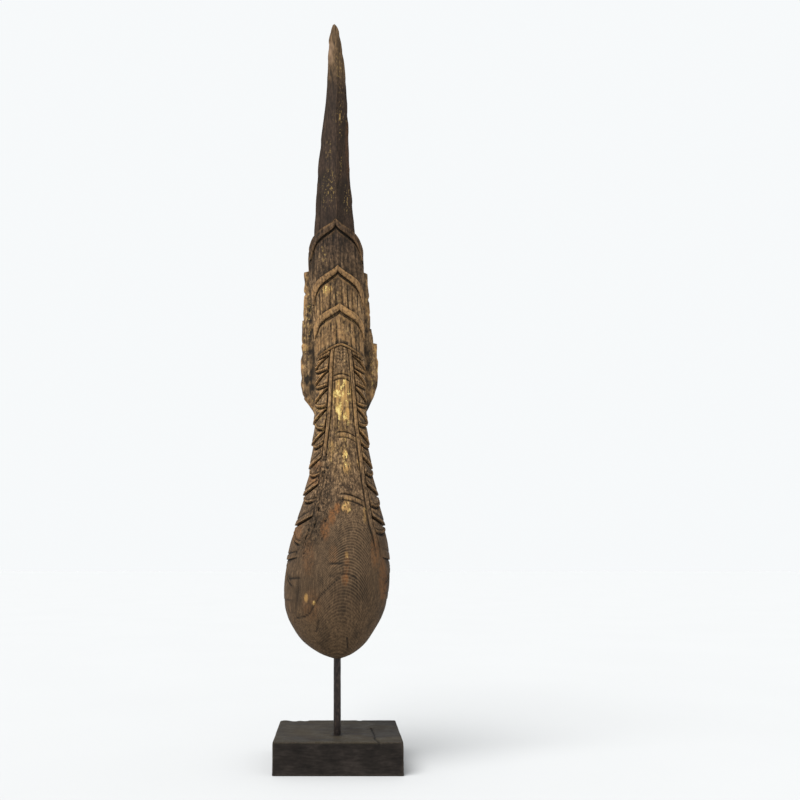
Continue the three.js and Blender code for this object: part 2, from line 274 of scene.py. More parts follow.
@dataclass(frozen=True)
class CarvedForm:
    """The carving's plain form: sections by height, and the net of rows and columns that lies on them."""

    tip_z: float = 1068.0
    turn: float = math.radians(4)
    centre_x: Profile = Profile((
        (130.5, -1), (165, -4.6), (250, 0), (340, 3.7), (450, 3.5),
        (560, 1.5), (680, -2.4), (817, -6.5), (971, -2.2), (1068, -5.6),
    ))
    body_half_width: Profile = Profile((
        (130.5, 0), (134.4, 13.5), (139, 23.4), (147, 35.2), (154, 42.8), (169, 53.7), (184, 62),
        (199, 66.7), (230, 69.6), (277, 65.4), (310, 57.7), (343, 50.2), (376, 43.4), (410, 39.4),
        (450, 36.8), (530, 36), (600, 38), (683, 40.6), (760, 41),
    ))
    body_front_y: Profile = Profile((
        (130.5, -27), (134.4, -37), (139, -44), (154, -58), (169, -66), (199, -74), (226, -76), (277, -66),
        (310, -55), (343, -44), (376, -35), (410, -28), (445, -24), (528, -21), (617, -17), (677, -13),
        (760, -8),
    ))
    body_side_y: Profile = Profile((
        (130.5, -27), (154, -22), (246, -14), (343, -2), (410, 6), (480, 11), (600, 15), (760, 19),
    ))
    body_back_y: Profile = Profile((
        (130.5, -27), (134.4, -17), (139, -8), (154, 10), (169, 20), (199, 32), (230, 38), (277, 42),
        (343, 44), (410, 47), (460, 50), (528, 58), (600, 60), (660, 57), (760, 50),
    ))
    horn_half_width: Profile = Profile((
        (660, 35), (740, 30.1), (817, 25.2), (875, 21.5), (924, 18.4), (971, 15.1), (1008, 13.1),
        (1027, 11.1), (1045, 8.6), (1060, 5.7), (1068, 2),
    ))
    horn_front_y: Profile = Profile((
        (660, 8), (753, 4.5), (817, 2), (875, 0), (924, -3), (971, -7), (1008, -11), (1045, -15), (1068, -14),
    ))
    horn_side_y: Profile = Profile((
        (660, 20), (817, 18), (875, 15), (924, 11), (971, 5.5), (1008, 0.5), (1045, -6.5), (1068, -12),
    ))
    horn_back_y: Profile = Profile((
        (660, 47), (753, 43), (817, 37), (875, 31), (924, 24), (971, 17), (1008, 10), (1045, 1.5),
        (1068, -10),
    ))
    body_front_roundness: Profile = Profile((
        (130.5, 2), (250, 2.1), (380, 2.4), (450, 2.6), (545, 2.6), (600, 2), (702, 1.8),
    ))
    body_back_roundness: float = 2.2
    horn_front_roundness: float = 1.12
    keel_x: Profile = Profile(((700, 2), (782, 2.5), (847, 3.4), (928, -1), (987, 0.4), (1068, 0)))
    horn_back_roundness: float = 1.7
    sheaths: tuple[Sheath, ...] = (
        Sheath(702, 10.5), Sheath(628, 8.5), Sheath(575, 7), Sheath(536, 4),
    )
    sheath_step: float = 2.7
    groove_width: float = 2.6
    panel_half_width: Profile = Profile((
        (240, 54), (275, 45), (295, 38.5), (335, 32), (376, 26.2), (431, 18.8), (517, 13), (545, 9),
    ))
    panel_share: float = 0.8
    ridge_width: float = 5.6
    panel_columns: int = 5
    ridge_columns: int = 3
    front_columns: int = 14
    back_angles: tuple[float, ...] = (90, 97, 104, 116, 130, 144, 156, 168, 180)
    plate_point_angle: float = math.radians(110)
    row_rise: Profile = Profile((
        (215, 0), (330, 27), (515, 27), (536, 20), (575, 42), (628, 49), (702, 51), (740, 40), (830, 10),
        (880, 0),
    ))
    row_inset: Profile = Profile((
        (541, 1), (565.4, 0.92), (568, 0.92), (575, 1), (616.9, 0.92), (619.5, 0.92), (628, 1),
        (688.9, 0.92), (691.5, 0.92), (702, 1),
    ))
    row_bow: Profile = Profile(((400, 1.5), (500, 1.35), (536, 1)))
    back_fall: Profile = Profile((
        (215, 0), (330, 18), (520, 18), (575, 26), (702, 26), (760, 12), (880, 0),
    ))
    arch_blend: Span = (1.0, 16.0)
    ridge_blend: Span = (200.0, 260.0)
    ogee_point: float = 0.06
    ogee_sharpness: float = 10.0
    ogee_straight: float = 0.48
    ogee_flare: float = 0.46
    ogee_power: int = 8

    def ogee(self, share: Array) -> Array:
        """Part of an arch's rise that is lost, from 0 in the middle to 1 at the flank."""
        point = self.ogee_point * (1 - np.exp(-self.ogee_sharpness * share))
        return point + self.ogee_straight * share + self.ogee_flare * share**self.ogee_power

    def row_height(self, flank: Array, angle: Array) -> Array:
        """Height of a row of the carving.

        Args:
            flank: Height of the row where it meets the flank.
            angle: Angle from the middle of the front.

        Returns:
            Heights in mm.
        """
        past = np.clip((angle - self.plate_point_angle) / (math.pi - self.plate_point_angle), 0, 1)
        behind = flank - self.back_fall(flank) * self.ogee(past)
        across = np.minimum(np.sin(np.minimum(angle, QUARTER)) / self.row_inset(flank), 1)
        lowest = self.sheaths[-1].foot
        start, end = self.arch_blend
        pointed = smoothstep(flank, lowest + start, lowest + end)
        lost = lerp(across ** self.row_bow(flank), self.ogee(across), pointed)
        before = flank + self.row_rise(flank) * (1 - lost)
        return np.where(angle > self.plate_point_angle, behind, before)

    def sheath_of(self, flank: Array) -> Array:
        """Number of the sheath that a row lies on: -1 on the horn, and the neck is on the last."""
        return sum((flank <= sheath.foot).astype(int) for sheath in self.sheaths) - 1

    def section(self, z: Array, sheath: Array) -> Section:
        """Plain section at a height, of the horn or of one of the sheaths.

        Args:
            z: Heights in mm.
            sheath: Sheath numbers.

        Returns:
            The sections.
        """
        horn = sheath < 0
        step = self.sheath_step * (len(self.sheaths) - 1 - sheath)
        return Section(
            half=np.where(horn, self.horn_half_width(z), self.body_half_width(z)),
            front=np.where(horn, self.horn_front_y(z), self.body_front_y(z) + step),
            side=np.where(horn, self.horn_side_y(z), self.body_side_y(z)),
            back=np.where(horn, self.horn_back_y(z), self.body_back_y(z)),
            front_roundness=np.where(horn, self.horn_front_roundness, self.body_front_roundness(z)),
            back_roundness=np.where(horn, self.horn_back_roundness, self.body_back_roundness),
        )

    def column_angle(self, column: Array, flank: Array) -> Array:
        """Angle of a column from the middle of the front. On the neck the columns follow the ridges.

        Args:
            column: Column numbers, from 0 in front to 22 behind.
            flank: Heights of the rows.

        Returns:
            Angles in radians.
        """
        even = QUARTER * column / self.front_columns
        half = self.body_half_width(flank)
        ridge_foot = np.minimum(self.panel_half_width(flank), self.panel_share * half) - self.ridge_width / 2
        on_panel = np.clip(column / self.panel_columns, 0, 1)
        on_ridge = np.clip((column - self.panel_columns) / self.ridge_columns, 0, 1)
        flank_start = self.panel_columns + self.ridge_columns
        on_flank = np.clip((column - flank_start) / (self.front_columns - flank_start), 0, 1)
        reach = np.clip((ridge_foot * on_panel + self.ridge_width * on_ridge) / half, 0, 1)
        neck = lerp(np.arcsin(reach ** (self.body_front_roundness(flank) / 2)), QUARTER, on_flank)
        lowest = self.sheaths[-1]
        under_sheath = 1 - smoothstep(flank, lowest.foot - lowest.rim, lowest.foot)
        front = lerp(even, neck, under_sheath * smoothstep(flank, *self.ridge_blend))
        numbers = self.front_columns + np.arange(len(self.back_angles))
        behind = np.interp(column, numbers, np.radians(self.back_angles))
        return np.where(column > self.front_columns, behind, front)

    def spots(self, flank: Array, column: Array, side: Array) -> Spots:
        """Places on the plain form.

        Args:
            flank: Heights of the rows at the flank.
            column: Column numbers.
            side: Signs of the sides.

        Returns:
            The places.
        """
        sheath = self.sheath_of(flank)
        angle = self.column_angle(column, flank)
        z = self.row_height(flank, angle)
        shape = self.section(z, sheath)
        sine = np.maximum(np.sin(angle), 0)
        cosine = np.cos(angle)
        facing = angle <= QUARTER
        depth = np.where(facing, shape.side - shape.front, shape.back - shape.side)
        power = 2 / np.where(facing, shape.front_roundness, shape.back_roundness)
        length = np.hypot(sine * depth, cosine * shape.half)
        out_length = np.hypot(sine, np.maximum(-cosine, 0)) + TINY
        keel_x = np.where(sheath < 0, self.keel_x(z), 0) * np.maximum(cosine, 0)
        return Spots(
            flank=flank, column=column, side=side, sheath=sheath, angle=angle, z=z,
            half=shape.half, centre=self.centre_x(z) + keel_x, side_y=shape.side,
            across=shape.half * sine**power,
            along=depth * np.abs(cosine) ** power * np.where(facing, -1, 1),
            normal=(sine * depth / length, -cosine * shape.half / length),
            outward=(sine / out_length, np.maximum(-cosine, 0) / out_length),
            turn=self.turn,
        )


# Marks on the carving


@dataclass(frozen=True)
class Stroke:
    """A chisel cut along a line of (x, z) points on the front, in mm."""

    points: tuple[tuple[float, float], ...]
    half_width: float
    depth: float

    def cut(self, places: Array) -> Array:
        """Depth of the cut.

        Args:
            places: Points in mm, with three columns.

        Returns:
            One depth for each point.
        """
        here = places[..., [0, 2]]
        nearest = np.full(here.shape[:-1], np.inf)
        for start, end in zip(self.points, self.points[1:]):
            along = np.subtract(end, start)
            share = np.clip((here - start) @ along / (along @ along), 0, 1)
            nearest = np.minimum(nearest, np.linalg.norm(here - start - share[..., None] * along, axis=-1))
        return self.depth * notch(nearest, self.half_width)


@dataclass(frozen=True)
class Patch:
    """A soft patch on the front: its middle and half sizes across and up, in mm, and its strength."""

    x: float
    z: float
    half_width: float
    half_height: float
    strength: float = 1.0

    def cover(self, places: Array) -> Array:
        """Strength of the patch, fading to nothing outside its border.

        Args:
            places: Points in mm, with three columns.

        Returns:
            One value for each point.
        """
        across = (places[..., 0] - self.x) / self.half_width
        up = (places[..., 2] - self.z) / self.half_height
        return self.strength * (1 - smoothstep(np.hypot(across, up), *PATCH_BORDER))


def covered(patches: tuple[Patch, ...], places: Array) -> Array:
    """Sum of what the patches cover at each point."""
    return sum(patch.cover(places) for patch in patches)


@dataclass(frozen=True)
class Nick:
    """A nick in the edge of the hood's plates: its side, height, depth and half height."""

    side: Side
    z: float
    depth: float
    half_height: float


@dataclass(frozen=True)
class Hood:
    """Plates of the hood that stand out behind the neck, with worn and nicked edges."""

    right: tuple[HoodPlate, ...] = (
        HoodPlate(590, 676, Profile(((590, 49.6), (629, 47.8), (676, 45)))),
        HoodPlate(568, 590, Profile(((568, 52), (590, 51.6)))),
        HoodPlate(455, 568, Profile((
            (455, 38), (463, 41.4), (474, 47), (484, 51.8), (493, 55.4), (510, 58.6), (528, 59.7),
            (568, 57.4),
        ))),
    )
    left: tuple[HoodPlate, ...] = (
        HoodPlate(601, 676, Profile(((601, 50.8), (676, 49.6)))),
        HoodPlate(455, 601, Profile((
            (455, 32), (463, 34.8), (474, 41.8), (484, 49), (493, 52.2), (528, 53.7), (565, 53), (601, 52.8),
        ))),
    )
    nicks: tuple[Nick, ...] = (
        Nick(Side.LEFT, 642, 2.2, 4), Nick(Side.LEFT, 566, 1.2, 5), Nick(Side.LEFT, 487, 1.6, 4),
        Nick(Side.RIGHT, 635, 1.8, 5), Nick(Side.RIGHT, 612, 1.1, 3), Nick(Side.RIGHT, 546, 0.9, 4),
    )
    wear: float = 0.7
    ragged_edge: Unevenness = Unevenness((9, 9, 9), 31)
    least_worn: float = 1.0
    first_column: float = 14.0
    fade_angle: float = math.radians(118)

    def stand_out(self, spots: Spots) -> Array:
        """How far the plates stand out sideways from the plain section.

        Args:
            spots: Places on the plain form.

        Returns:
            Distances in mm.
        """
        plain = spots.half + spots.side * spots.centre
        share = np.clip(spots.column - self.first_column, 0, 1)
        share = share * (1 - smoothstep(spots.angle, self.fade_angle, math.pi))
        total = np.zeros_like(spots.z)
        for side, plates in ((Side.RIGHT, self.right), (Side.LEFT, self.left)):
            for plate in plates:
                here = (spots.side == side.value) & (spots.flank > plate.foot) & (spots.flank <= plate.top)
                total = np.where(here, np.maximum(plate.reach(spots.flank) - plain, 0), total)
        for nick in self.nicks:
            here = spots.side == nick.side.value
            total -= nick.depth * notch(spots.z - nick.z, nick.half_height) * here * (total > nick.depth)
        ragged = np.minimum(self.ragged_edge.at(spots.moved(0, 0)), 0) * (total > self.least_worn)
        return np.maximum(total + self.wear * ragged, 0) * share


@dataclass(frozen=True)
class Band:
    """Two lines cut across the belly panel: their heights, and the columns where wear has taken them."""

    lines: Span
    worn_columns: Span


@dataclass(frozen=True)
class LeafCut:
    """A cut that follows a leaf's curved line: its depth, its place under the line and its half width."""

    depth: float
    place: float
    half_width: float

    def at(self, past_curve: Array) -> Array:
        """Depth of the cut at distances under the line."""
        return self.depth * notch(past_curve - self.place, self.half_width)


@dataclass(frozen=True)
class Carving:
    """Relief of the carving: rims and flutes of the sheaths, ridges, bands and leaves of the neck, and cuts.

    What a name calls columns is in columns of the net. Shares have no unit, and the rest is in mm.
    """

    rim_rises: tuple[float, ...] = (1.5, 1.5, 1.5, 0.5)
    rim_lip: float = 0.7
    rim_lip_fall: float = 1.4
    lower_rim_end_columns: tuple[float, ...] = (12.8, 12.8, 11.5)
    rim_fade_columns: float = 2.6
    facing_angles: Span = (math.radians(66), math.radians(93))
    groove_depths: tuple[float, ...] = (3.0, 3.0, 3.0, 2.2)
    groove_overlap: Span = (0.2, 1.3)
    groove_soft: float = 0.9
    groove_end_columns: Span = (10.5, 13.0)
    inner_lip_fade: Span = (2.0, 5.0)
    flute_depths: tuple[float, ...] = (0.8, 1.7, 1.6, 0.4)
    flute_start: Span = (2.0, 9.0)
    flute_columns: int = 2
    flute_half_width_columns: float = 0.62
    flute_shares: Triple = (0.8, 0.7, 1.3)
    flute_wear: Unevenness = Unevenness((9, 9, 26), 5)
    flute_wander: Unevenness = Unevenness((12, 12, 55), 6)
    flute_wander_columns: float = 0.45
    border_column: float = 12.0
    border_line_depth: float = 1.6
    border_line_columns: float = 0.8
    field_end_column: float = 13.8
    panel_end_column: float = 4.7
    ridge_end_column: float = 8.3
    ridge_rise: float = 1.7
    ridge_top_columns: Triple = (5.35, 7.65, 0.7)
    ridge_line_columns: Span = (5.0, 8.0)
    ridge_line_half_columns: float = 0.6
    ridge_line_depth: float = 1.2
    ridge_end: Span = (250.0, 280.0)
    bands: tuple[Band, ...] = (
        Band((484, 477), (-9, -8)), Band((401.5, 394), (-2.2, -0.4)), Band((316, 308.5), (-1.2, 0.2)),
    )
    band_half_width: float = 1.5
    band_depth: float = 1.6
    band_end_columns: Span = (4.2, 4.8)
    chevrons: Triple = (500.0, 524.0, 6.0)
    chevron_end_columns: Span = (2.6, 3.8)
    chevron_slope: float = 1.4
    chevron_pitch: float = 5.0
    chevron_depth: float = 0.6
    leaf_top: float = 541.0
    leaf_pitch: float = 20.5
    leaf_growth: float = 1.105
    leaf_count: int = 10
    leaf_columns: Span = (8.0, 14.0)
    leaf_rise: float = 3.2
    leaf_sunk_share: float = 0.35
    leaf_seed: int = 17
    steep_leaves: int = 5
    steep_lean: float = 1.0
    slack_lean: float = 0.64
    right_lean: float = 0.1
    lean_by_hand: float = 0.16
    most_lean: float = 0.97
    steep_bow: float = 1.2
    slack_bow: float = 2.0
    curve_reach: float = 0.95
    tooth_rise: float = 1.5
    tooth_least_share: float = 0.1
    tooth_fall: Span = (-1.2, -0.2)
    lip_rise: float = 0.9
    lip_place: Triple = (-3.4, -0.6, 0.8)
    main_cut: LeafCut = LeafCut(3.22, 1.0, 2.4)
    fine_cut: LeafCut = LeafCut(1.68, -4.2, 1.2)
    foot_cut: LeafCut = LeafCut(1.68, 0.0, 1.2)
    foot_cut_share: float = 0.82
    foot_cut_by_hand: float = 0.05
    foot_cut_start: float = 5.0
    under_cut_depth: float = 2.8
    under_cut_fade: Span = (1.0, 3.2)
    last_under_cut_share: float = 0.3
    leaf_root_share: float = 0.4
    leaf_root_heights: Span = (265.0, 300.0)
    plate_foot: float = 455.0
    end_columns_by_plates: Span = (13.4, 1.2)
    end_columns_below: Span = (19.5, 3.5)
    last_leaf_share: float = 0.25
    rot_heights: Triple = (262.0, 405.0, 30.0)
    rot_columns: Triple = (3.6, 9.2, 2.4)
    rot_wander: Unevenness = Unevenness((60, 60, 22), 12)
    rot_wander_columns: float = 1.1
    rot_depth: float = 1.8
    rot_softness: float = 0.5
    rot_kept_relief: float = 0.35
    worm_holes: Unevenness = Unevenness((2.6, 2.6, 6), 21)
    worm_hole_rim: Span = (0.42, 0.7)
    checks: Unevenness = Unevenness((8, 8, 110), 8)
    check_half_width: float = 0.22
    check_depth: float = 0.9
    checks_open: Unevenness = Unevenness((26, 26, 90), 9)
    checks_open_range: Span = (-0.1, 0.5)
    breast_top: Span = (330.0, 480.0)
    tool_marks: Unevenness = Unevenness((7, 7, 12), 3)
    tool_mark_depth: float = 0.35
    tool_marks_on_breast: float = 0.4
    gouge_depth: float = 1.1
    gouged_columns: Triple = (13.9, 18.0, 0.8)
    gouge_start: Span = (455.0, 480.0)
    strokes: tuple[Stroke, ...] = (
        Stroke(((1, 234), (-10, 224), (-21, 213), (-28, 203), (-35, 191), (-42, 186), (-52, 184)), 2.0, 0.8),
        Stroke(((-12, 250), (-5, 252), (4, 251.6), (11, 250)), 2.0, 0.8),
        Stroke(((-10, 237), (2, 238.4), (14, 238), (23, 234)), 2.0, 0.8),
        Stroke(((-50, 233), (-50.5, 218), (-53, 200), (-55, 190)), 2.2, 0.5),
        Stroke(((-67, 231), (-58, 233), (-50, 233)), 2.0, 0.9),
        Stroke(((11.6, 160), (12.2, 147)), 2.2, 1.1),
        Stroke(((-24, 182), (-27, 168)), 2.2, 0.7),
    )

    def leaf_edges(self) -> Array:
        """Heights of the leaves' lower edges: each leaf is longer than the one above it."""
        lengths = self.leaf_pitch * self.leaf_growth ** np.arange(self.leaf_count)
        return self.leaf_top - np.concatenate([[0], np.cumsum(lengths)])

    def on_sheaths(self, form: CarvedForm, spots: Spots) -> Array:
        """Relief of the pointed sheaths: a lipped rim, a groove under it, and flutes between two borders.

        Args:
            form: The plain form.
            spots: Places on it.

        Returns:
            Relief in mm.
        """
        places = spots.moved(0, 0)
        relief = np.zeros_like(spots.z)
        mean, swing, most = self.flute_shares
        wander = spots.column + self.flute_wander_columns * self.flute_wander.at(places)
        off_line = wander % self.flute_columns - self.flute_columns / 2
        flute = notch(off_line, self.flute_half_width_columns)
        flute = flute * np.clip(mean + swing * self.flute_wear.at(places), 0, most)
        facing = 1 - smoothstep(spots.angle, *self.facing_angles)
        by_front = 1 - smoothstep(spots.column, *self.groove_end_columns)
        border_line = notch(spots.column - self.border_column, self.border_line_columns)
        side_border = facing * self.rim_rises[0] - self.border_line_depth * border_line
        for number, sheath in enumerate(form.sheaths):
            if number == 0:
                kept = facing
                grooved = kept
                border = side_border
                inside = spots.column < self.border_column
            else:
                rim_end = self.lower_rim_end_columns[number - 1]
                kept = 1 - smoothstep(spots.column, rim_end - self.rim_fade_columns, rim_end)
                grooved = kept * by_front
                border = 0
                inside = spots.column < self.field_end_column
            below = sheath.foot - spots.flank
            past_groove = below - sheath.rim - form.groove_width
            rim = kept * (self.rim_rises[number] + self.rim_lip * np.exp(-below / self.rim_lip_fall))
            lip = self.rim_lip * (1 - smoothstep(past_groove, *self.inner_lip_fade))
            field = lip - self.flute_depths[number] * flute * smoothstep(past_groove, *self.flute_start)
            inner = np.where(inside, field, border)
            groove_top = sheath.rim - self.groove_overlap[0]
            groove_foot = sheath.rim + form.groove_width + self.groove_overlap[1]
            groove = strip(below, groove_top, groove_foot, self.groove_soft) * inside * grooved
            level = np.where(below < sheath.rim, rim, inner) - self.groove_depths[number] * groove
            relief = np.where(spots.sheath == number, level, relief)
        return relief

    def on_panel(self, spots: Spots) -> Array:
        """Relief of the belly panel: two lines to a band, and small nested chevrons at the top.

        Args:
            spots: Places on the plain form.

        Returns:
            Relief in mm.
        """
        signed = spots.side * spots.column
        inside = 1 - smoothstep(spots.column, *self.band_end_columns)
        relief = np.zeros_like(spots.z)
        for band in self.bands:
            kept = inside * smoothstep(signed, *band.worn_columns)
            for line in band.lines:
                relief -= self.band_depth * notch(spots.flank - line, self.band_half_width) * kept
        nested = spots.flank - self.chevron_slope * spots.column
        waves = np.sin(nested * 2 * math.pi / self.chevron_pitch)
        shown = strip(spots.flank, *self.chevrons) * (1 - smoothstep(spots.column, *self.chevron_end_columns))
        return relief + self.chevron_depth * np.minimum(waves, 0) * shown

    def on_flanks(self, spots: Spots) -> Array:
        """Relief of the overlapping leaves: tooth by the ridge, lip, curved cuts and body.

        Args:
            spots: Places on the plain form.

        Returns:
            Relief in mm.
        """
        edges = self.leaf_edges()
        leaf = np.clip(np.searchsorted(-edges, -spots.flank), 1, self.leaf_count)
        length = edges[leaf - 1] - edges[leaf]
        down = (edges[leaf - 1] - spots.flank) / length
        first, last = self.leaf_columns
        out = (spots.column - first) / (last - first)
        by_hand = lattice_value(np.stack([leaf, spots.side, leaf * 0], axis=-1), self.leaf_seed)
        steep = leaf <= self.steep_leaves
        lean = np.where(steep, self.steep_lean, self.slack_lean) - self.right_lean * (spots.side > 0)
        lean = np.minimum(lean + self.lean_by_hand * by_hand, self.most_lean)
        bow = np.where(steep, self.steep_bow, self.slack_bow)
        curve = lean * (1 - np.clip(out / self.curve_reach, 0, 1) ** bow)
        past_curve = (down - curve) * length
        body = self.leaf_rise * (down - self.leaf_sunk_share)
        tooth = self.tooth_rise * np.clip(down / np.maximum(curve, self.tooth_least_share), 0, 1)
        tooth = tooth * (1 - smoothstep(past_curve, *self.tooth_fall))
        lip = self.lip_rise * strip(past_curve, *self.lip_place)
        cuts = np.maximum(self.main_cut.at(past_curve), self.fine_cut.at(past_curve))
        carved = np.where((out > 0) & (out < self.curve_reach), tooth + lip - cuts, 0)
        past_foot_cut = (down - self.foot_cut_share - self.foot_cut_by_hand * by_hand) * length
        foot_cut = self.foot_cut.at(past_foot_cut) * (past_curve > self.foot_cut_start)
        under_cut = self.under_cut_depth * (1 - smoothstep(down * length, *self.under_cut_fade))
        under_cut = under_cut * np.where(leaf == self.leaf_count, self.last_under_cut_share, 1)
        above_root = smoothstep(spots.flank, *self.leaf_root_heights)
        by_ridge = lerp(smoothstep(out, 0, self.leaf_root_share), 1, above_root)
        by_plates = spots.flank > self.plate_foot
        end = np.where(by_plates, self.end_columns_by_plates[0], self.end_columns_below[0])
        fade = np.where(by_plates, self.end_columns_by_plates[1], self.end_columns_below[1])
        reach = np.clip((end - spots.column) / fade, 0, 1)
        fading = lerp(self.last_leaf_share, 1, smoothstep(spots.flank, edges[-1], edges[-3]))
        shown = (spots.flank < edges[0]) & (spots.flank > edges[-1])
        return (body + carved - foot_cut - under_cut) * by_ridge * reach * fading * shown

    def on_neck(self, spots: Spots) -> Array:
        """Relief of the neck: the panel between two lined ridges, with leaves beside them.

        Args:
            spots: Places on the plain form.

        Returns:
            Relief in mm.
        """
        raised = self.ridge_rise * strip(spots.column, *self.ridge_top_columns)
        half_width = self.ridge_line_half_columns
        lines = sum(notch(spots.column - line, half_width) for line in self.ridge_line_columns)
        ridge = (raised - self.ridge_line_depth * lines) * smoothstep(spots.flank, *self.ridge_end)
        return np.select(
            [spots.column < self.panel_end_column, spots.column < self.ridge_end_column],
            [self.on_panel(spots), ridge],
            self.on_flanks(spots),
        )

    def rot(self, spots: Spots) -> Array:
        """Share of the worm-eaten timber along the left ridge, from 0 to 1.

        Args:
            spots: Places on the plain form.

        Returns:
            One value for each spot.
        """
        wander = self.rot_wander_columns * self.rot_wander.at(spots.moved(0, 0))
        across = strip(spots.column + wander, *self.rot_columns)
        return strip(spots.z, *self.rot_heights) * across * (spots.side == Side.LEFT.value)

    def relief(self, form: CarvedForm, spots: Spots) -> Array:
        """Whole relief of the carving.

        Args:
            form: The plain form.
            spots: Places on it.

        Returns:
            Relief in mm.
        """
        places = spots.moved(0, 0)
        lowest = form.sheaths[-1]
        neck = spots.flank < lowest.foot - lowest.rim - form.groove_width
        relief = np.where(neck, self.on_neck(spots), self.on_sheaths(form, spots))
        relief = np.where(spots.sheath < 0, 0, relief)
        for stroke in self.strokes:
            relief = relief - stroke.cut(places) * spots.on_front
        holes = self.worm_holes.at(places)
        eaten = self.rot_softness * np.minimum(holes, 0)
        eaten = eaten - self.rot_depth * smoothstep(holes, *self.worm_hole_rim)
        relief = lerp(relief, self.rot_kept_relief * relief + eaten, self.rot(spots))
        above_breast = smoothstep(spots.z, *self.breast_top)
        checks = notch(self.checks.at(places), self.check_half_width)
        checks = checks * smoothstep(self.checks_open.at(places), *self.checks_open_range) * above_breast
        gouged = strip(spots.column, *self.gouged_columns) * smoothstep(spots.flank, *self.gouge_start)
        marks = (self.tool_mark_depth + self.gouge_depth * gouged) * self.tool_marks.at(places)
        return relief - self.check_depth * checks + marks * lerp(self.tool_marks_on_breast, 1, above_breast)


# Node graphs


@dataclass(frozen=True)
class Grain:
    """A noise on a piece's own coordinates: swings for each metre along X, Y and Z, octaves and roughness."""

    scale: Triple
    detail: float
    roughness: float


class NodeGraph:
    """Adds nodes to one material's tree and joins them."""

    def __init__(self, name: str) -> None:
        """Starts a material of that name with one shader."""
        self.material = bpy.data.materials.new(name)
        self.material.use_nodes = True
        self.tree = self.material.node_tree
        self.shader = self.tree.nodes["Principled BSDF"]
        self.place = self.add("ShaderNodeTexCoord", {}).outputs["Object"]

    def add(self, kind: str, inputs: dict, **settings: object) -> bpy.types.Node:
        """Adds a node.

        Args:
            kind: The node's type.
            inputs: Values or sockets for its inputs, by name or number.
            **settings: The node's own settings.

        Returns:
            The node.
        """
        node = self.tree.nodes.new(kind)
        for name, value in settings.items():
            setattr(node, name, value)
        for key, value in inputs.items():
            self.feed(node.inputs[key], value)
        return node

    def feed(self, socket: bpy.types.NodeSocket, value: object) -> None:
        """Joins a socket to another, or sets its value."""
        if isinstance(value, bpy.types.NodeSocket):
            self.tree.links.new(value, socket)
        elif socket.type == "RGBA":
            socket.default_value = (*value, 1.0)
        else:
            socket.default_value = value

    def attribute(self, name: str) -> bpy.types.NodeSocket:
        """Value that the mesh holds under a name."""
        return self.add("ShaderNodeAttribute", {}, attribute_name=name).outputs["Fac"]

    def noise(self, grain: Grain) -> bpy.types.NodeSocket:
        """Noise on the piece's own coordinates, from 0 to 1."""
        place = self.add("ShaderNodeMapping", {"Vector": self.place, "Scale": grain.scale}).outputs["Vector"]
        inputs = {"Vector": place, "Scale": 1.0, "Detail": grain.detail, "Roughness": grain.roughness}
        return self.add("ShaderNodeTexNoise", inputs).outputs["Fac"]

    def math(self, operation: str, *values: object) -> bpy.types.NodeSocket:
        """Result of a sum on sockets or numbers."""
        return self.add("ShaderNodeMath", dict(enumerate(values)), operation=operation).outputs[0]

    def spread(self, value: object, spread: Spread) -> bpy.types.NodeSocket:
        """Value moved smoothly from the spread's first two numbers to its last two."""
        names = ("From Min", "From Max", "To Min", "To Max")
        inputs = {"Value": value, **dict(zip(names, spread))}
        return self.add("ShaderNodeMapRange", inputs, interpolation_type="SMOOTHSTEP").outputs["Result"]

    def through(self, value: object, mask: object, spread: Spread) -> bpy.types.NodeSocket:
        """A value that shows only where the spread of a mask lets it."""
        return self.math("MULTIPLY", value, self.spread(mask, spread))

    def blend(self, first: object, second: object, shares: Span) -> bpy.types.NodeSocket:
        """Sum of two values, each with its share."""
        return self.math("MULTIPLY_ADD", first, shares[0], self.math("MULTIPLY", second, shares[1]))

    def ramp(self, value: object, stops: Sequence[float], colours: Sequence[Colour]) -> bpy.types.NodeSocket:
        """Colours along a value.

        Args:
            value: Socket with the value.
            stops: Places from 0 to 1.
            colours: The colour at each stop.

        Returns:
            The colour.
        """
        node = self.add("ShaderNodeValToRGB", {"Fac": value})
        elements = node.color_ramp.elements
        while len(elements) < len(stops):
            elements.new(stops[1])
        for element, place, colour in zip(elements, stops, colours):
            element.position = place
            element.color = (*colour, 1.0)
        return node.outputs["Color"]

    def mix(self, share: object, start: object, end: object, blend: str = "MIX") -> bpy.types.NodeSocket:
        """Blend of two colours.

        Args:
            share: How much of the second colour.
            start: First colour.
            end: Second colour.
            blend: Way of blending.

        Returns:
            The colour.
        """
        node = self.add("ShaderNodeMix", {}, data_type="RGBA", blend_type=blend)
        factor, first, second = (node.inputs[number] for number in MIX_INPUTS)
        self.feed(factor, share)
        self.feed(first, start)
        self.feed(second, end)
        return node.outputs[MIX_OUTPUT]

    def finish(self, colour: object, roughness: object, height: object, depth: float) -> None:
        """Joins the shader's colour, roughness and bump.

        Args:
            colour: Base colour.
            roughness: Roughness.
            height: Height of the bump, from 0 to 1.
            depth: Depth of the bump in metres.
        """
        bump = self.add("ShaderNodeBump", {"Strength": 1.0, "Distance": depth, "Height": height})
        self.feed(self.shader.inputs["Base Color"], colour)
        self.feed(self.shader.inputs["Roughness"], roughness)
        self.feed(self.shader.inputs["Normal"], bump.outputs["Normal"])


# Finishes


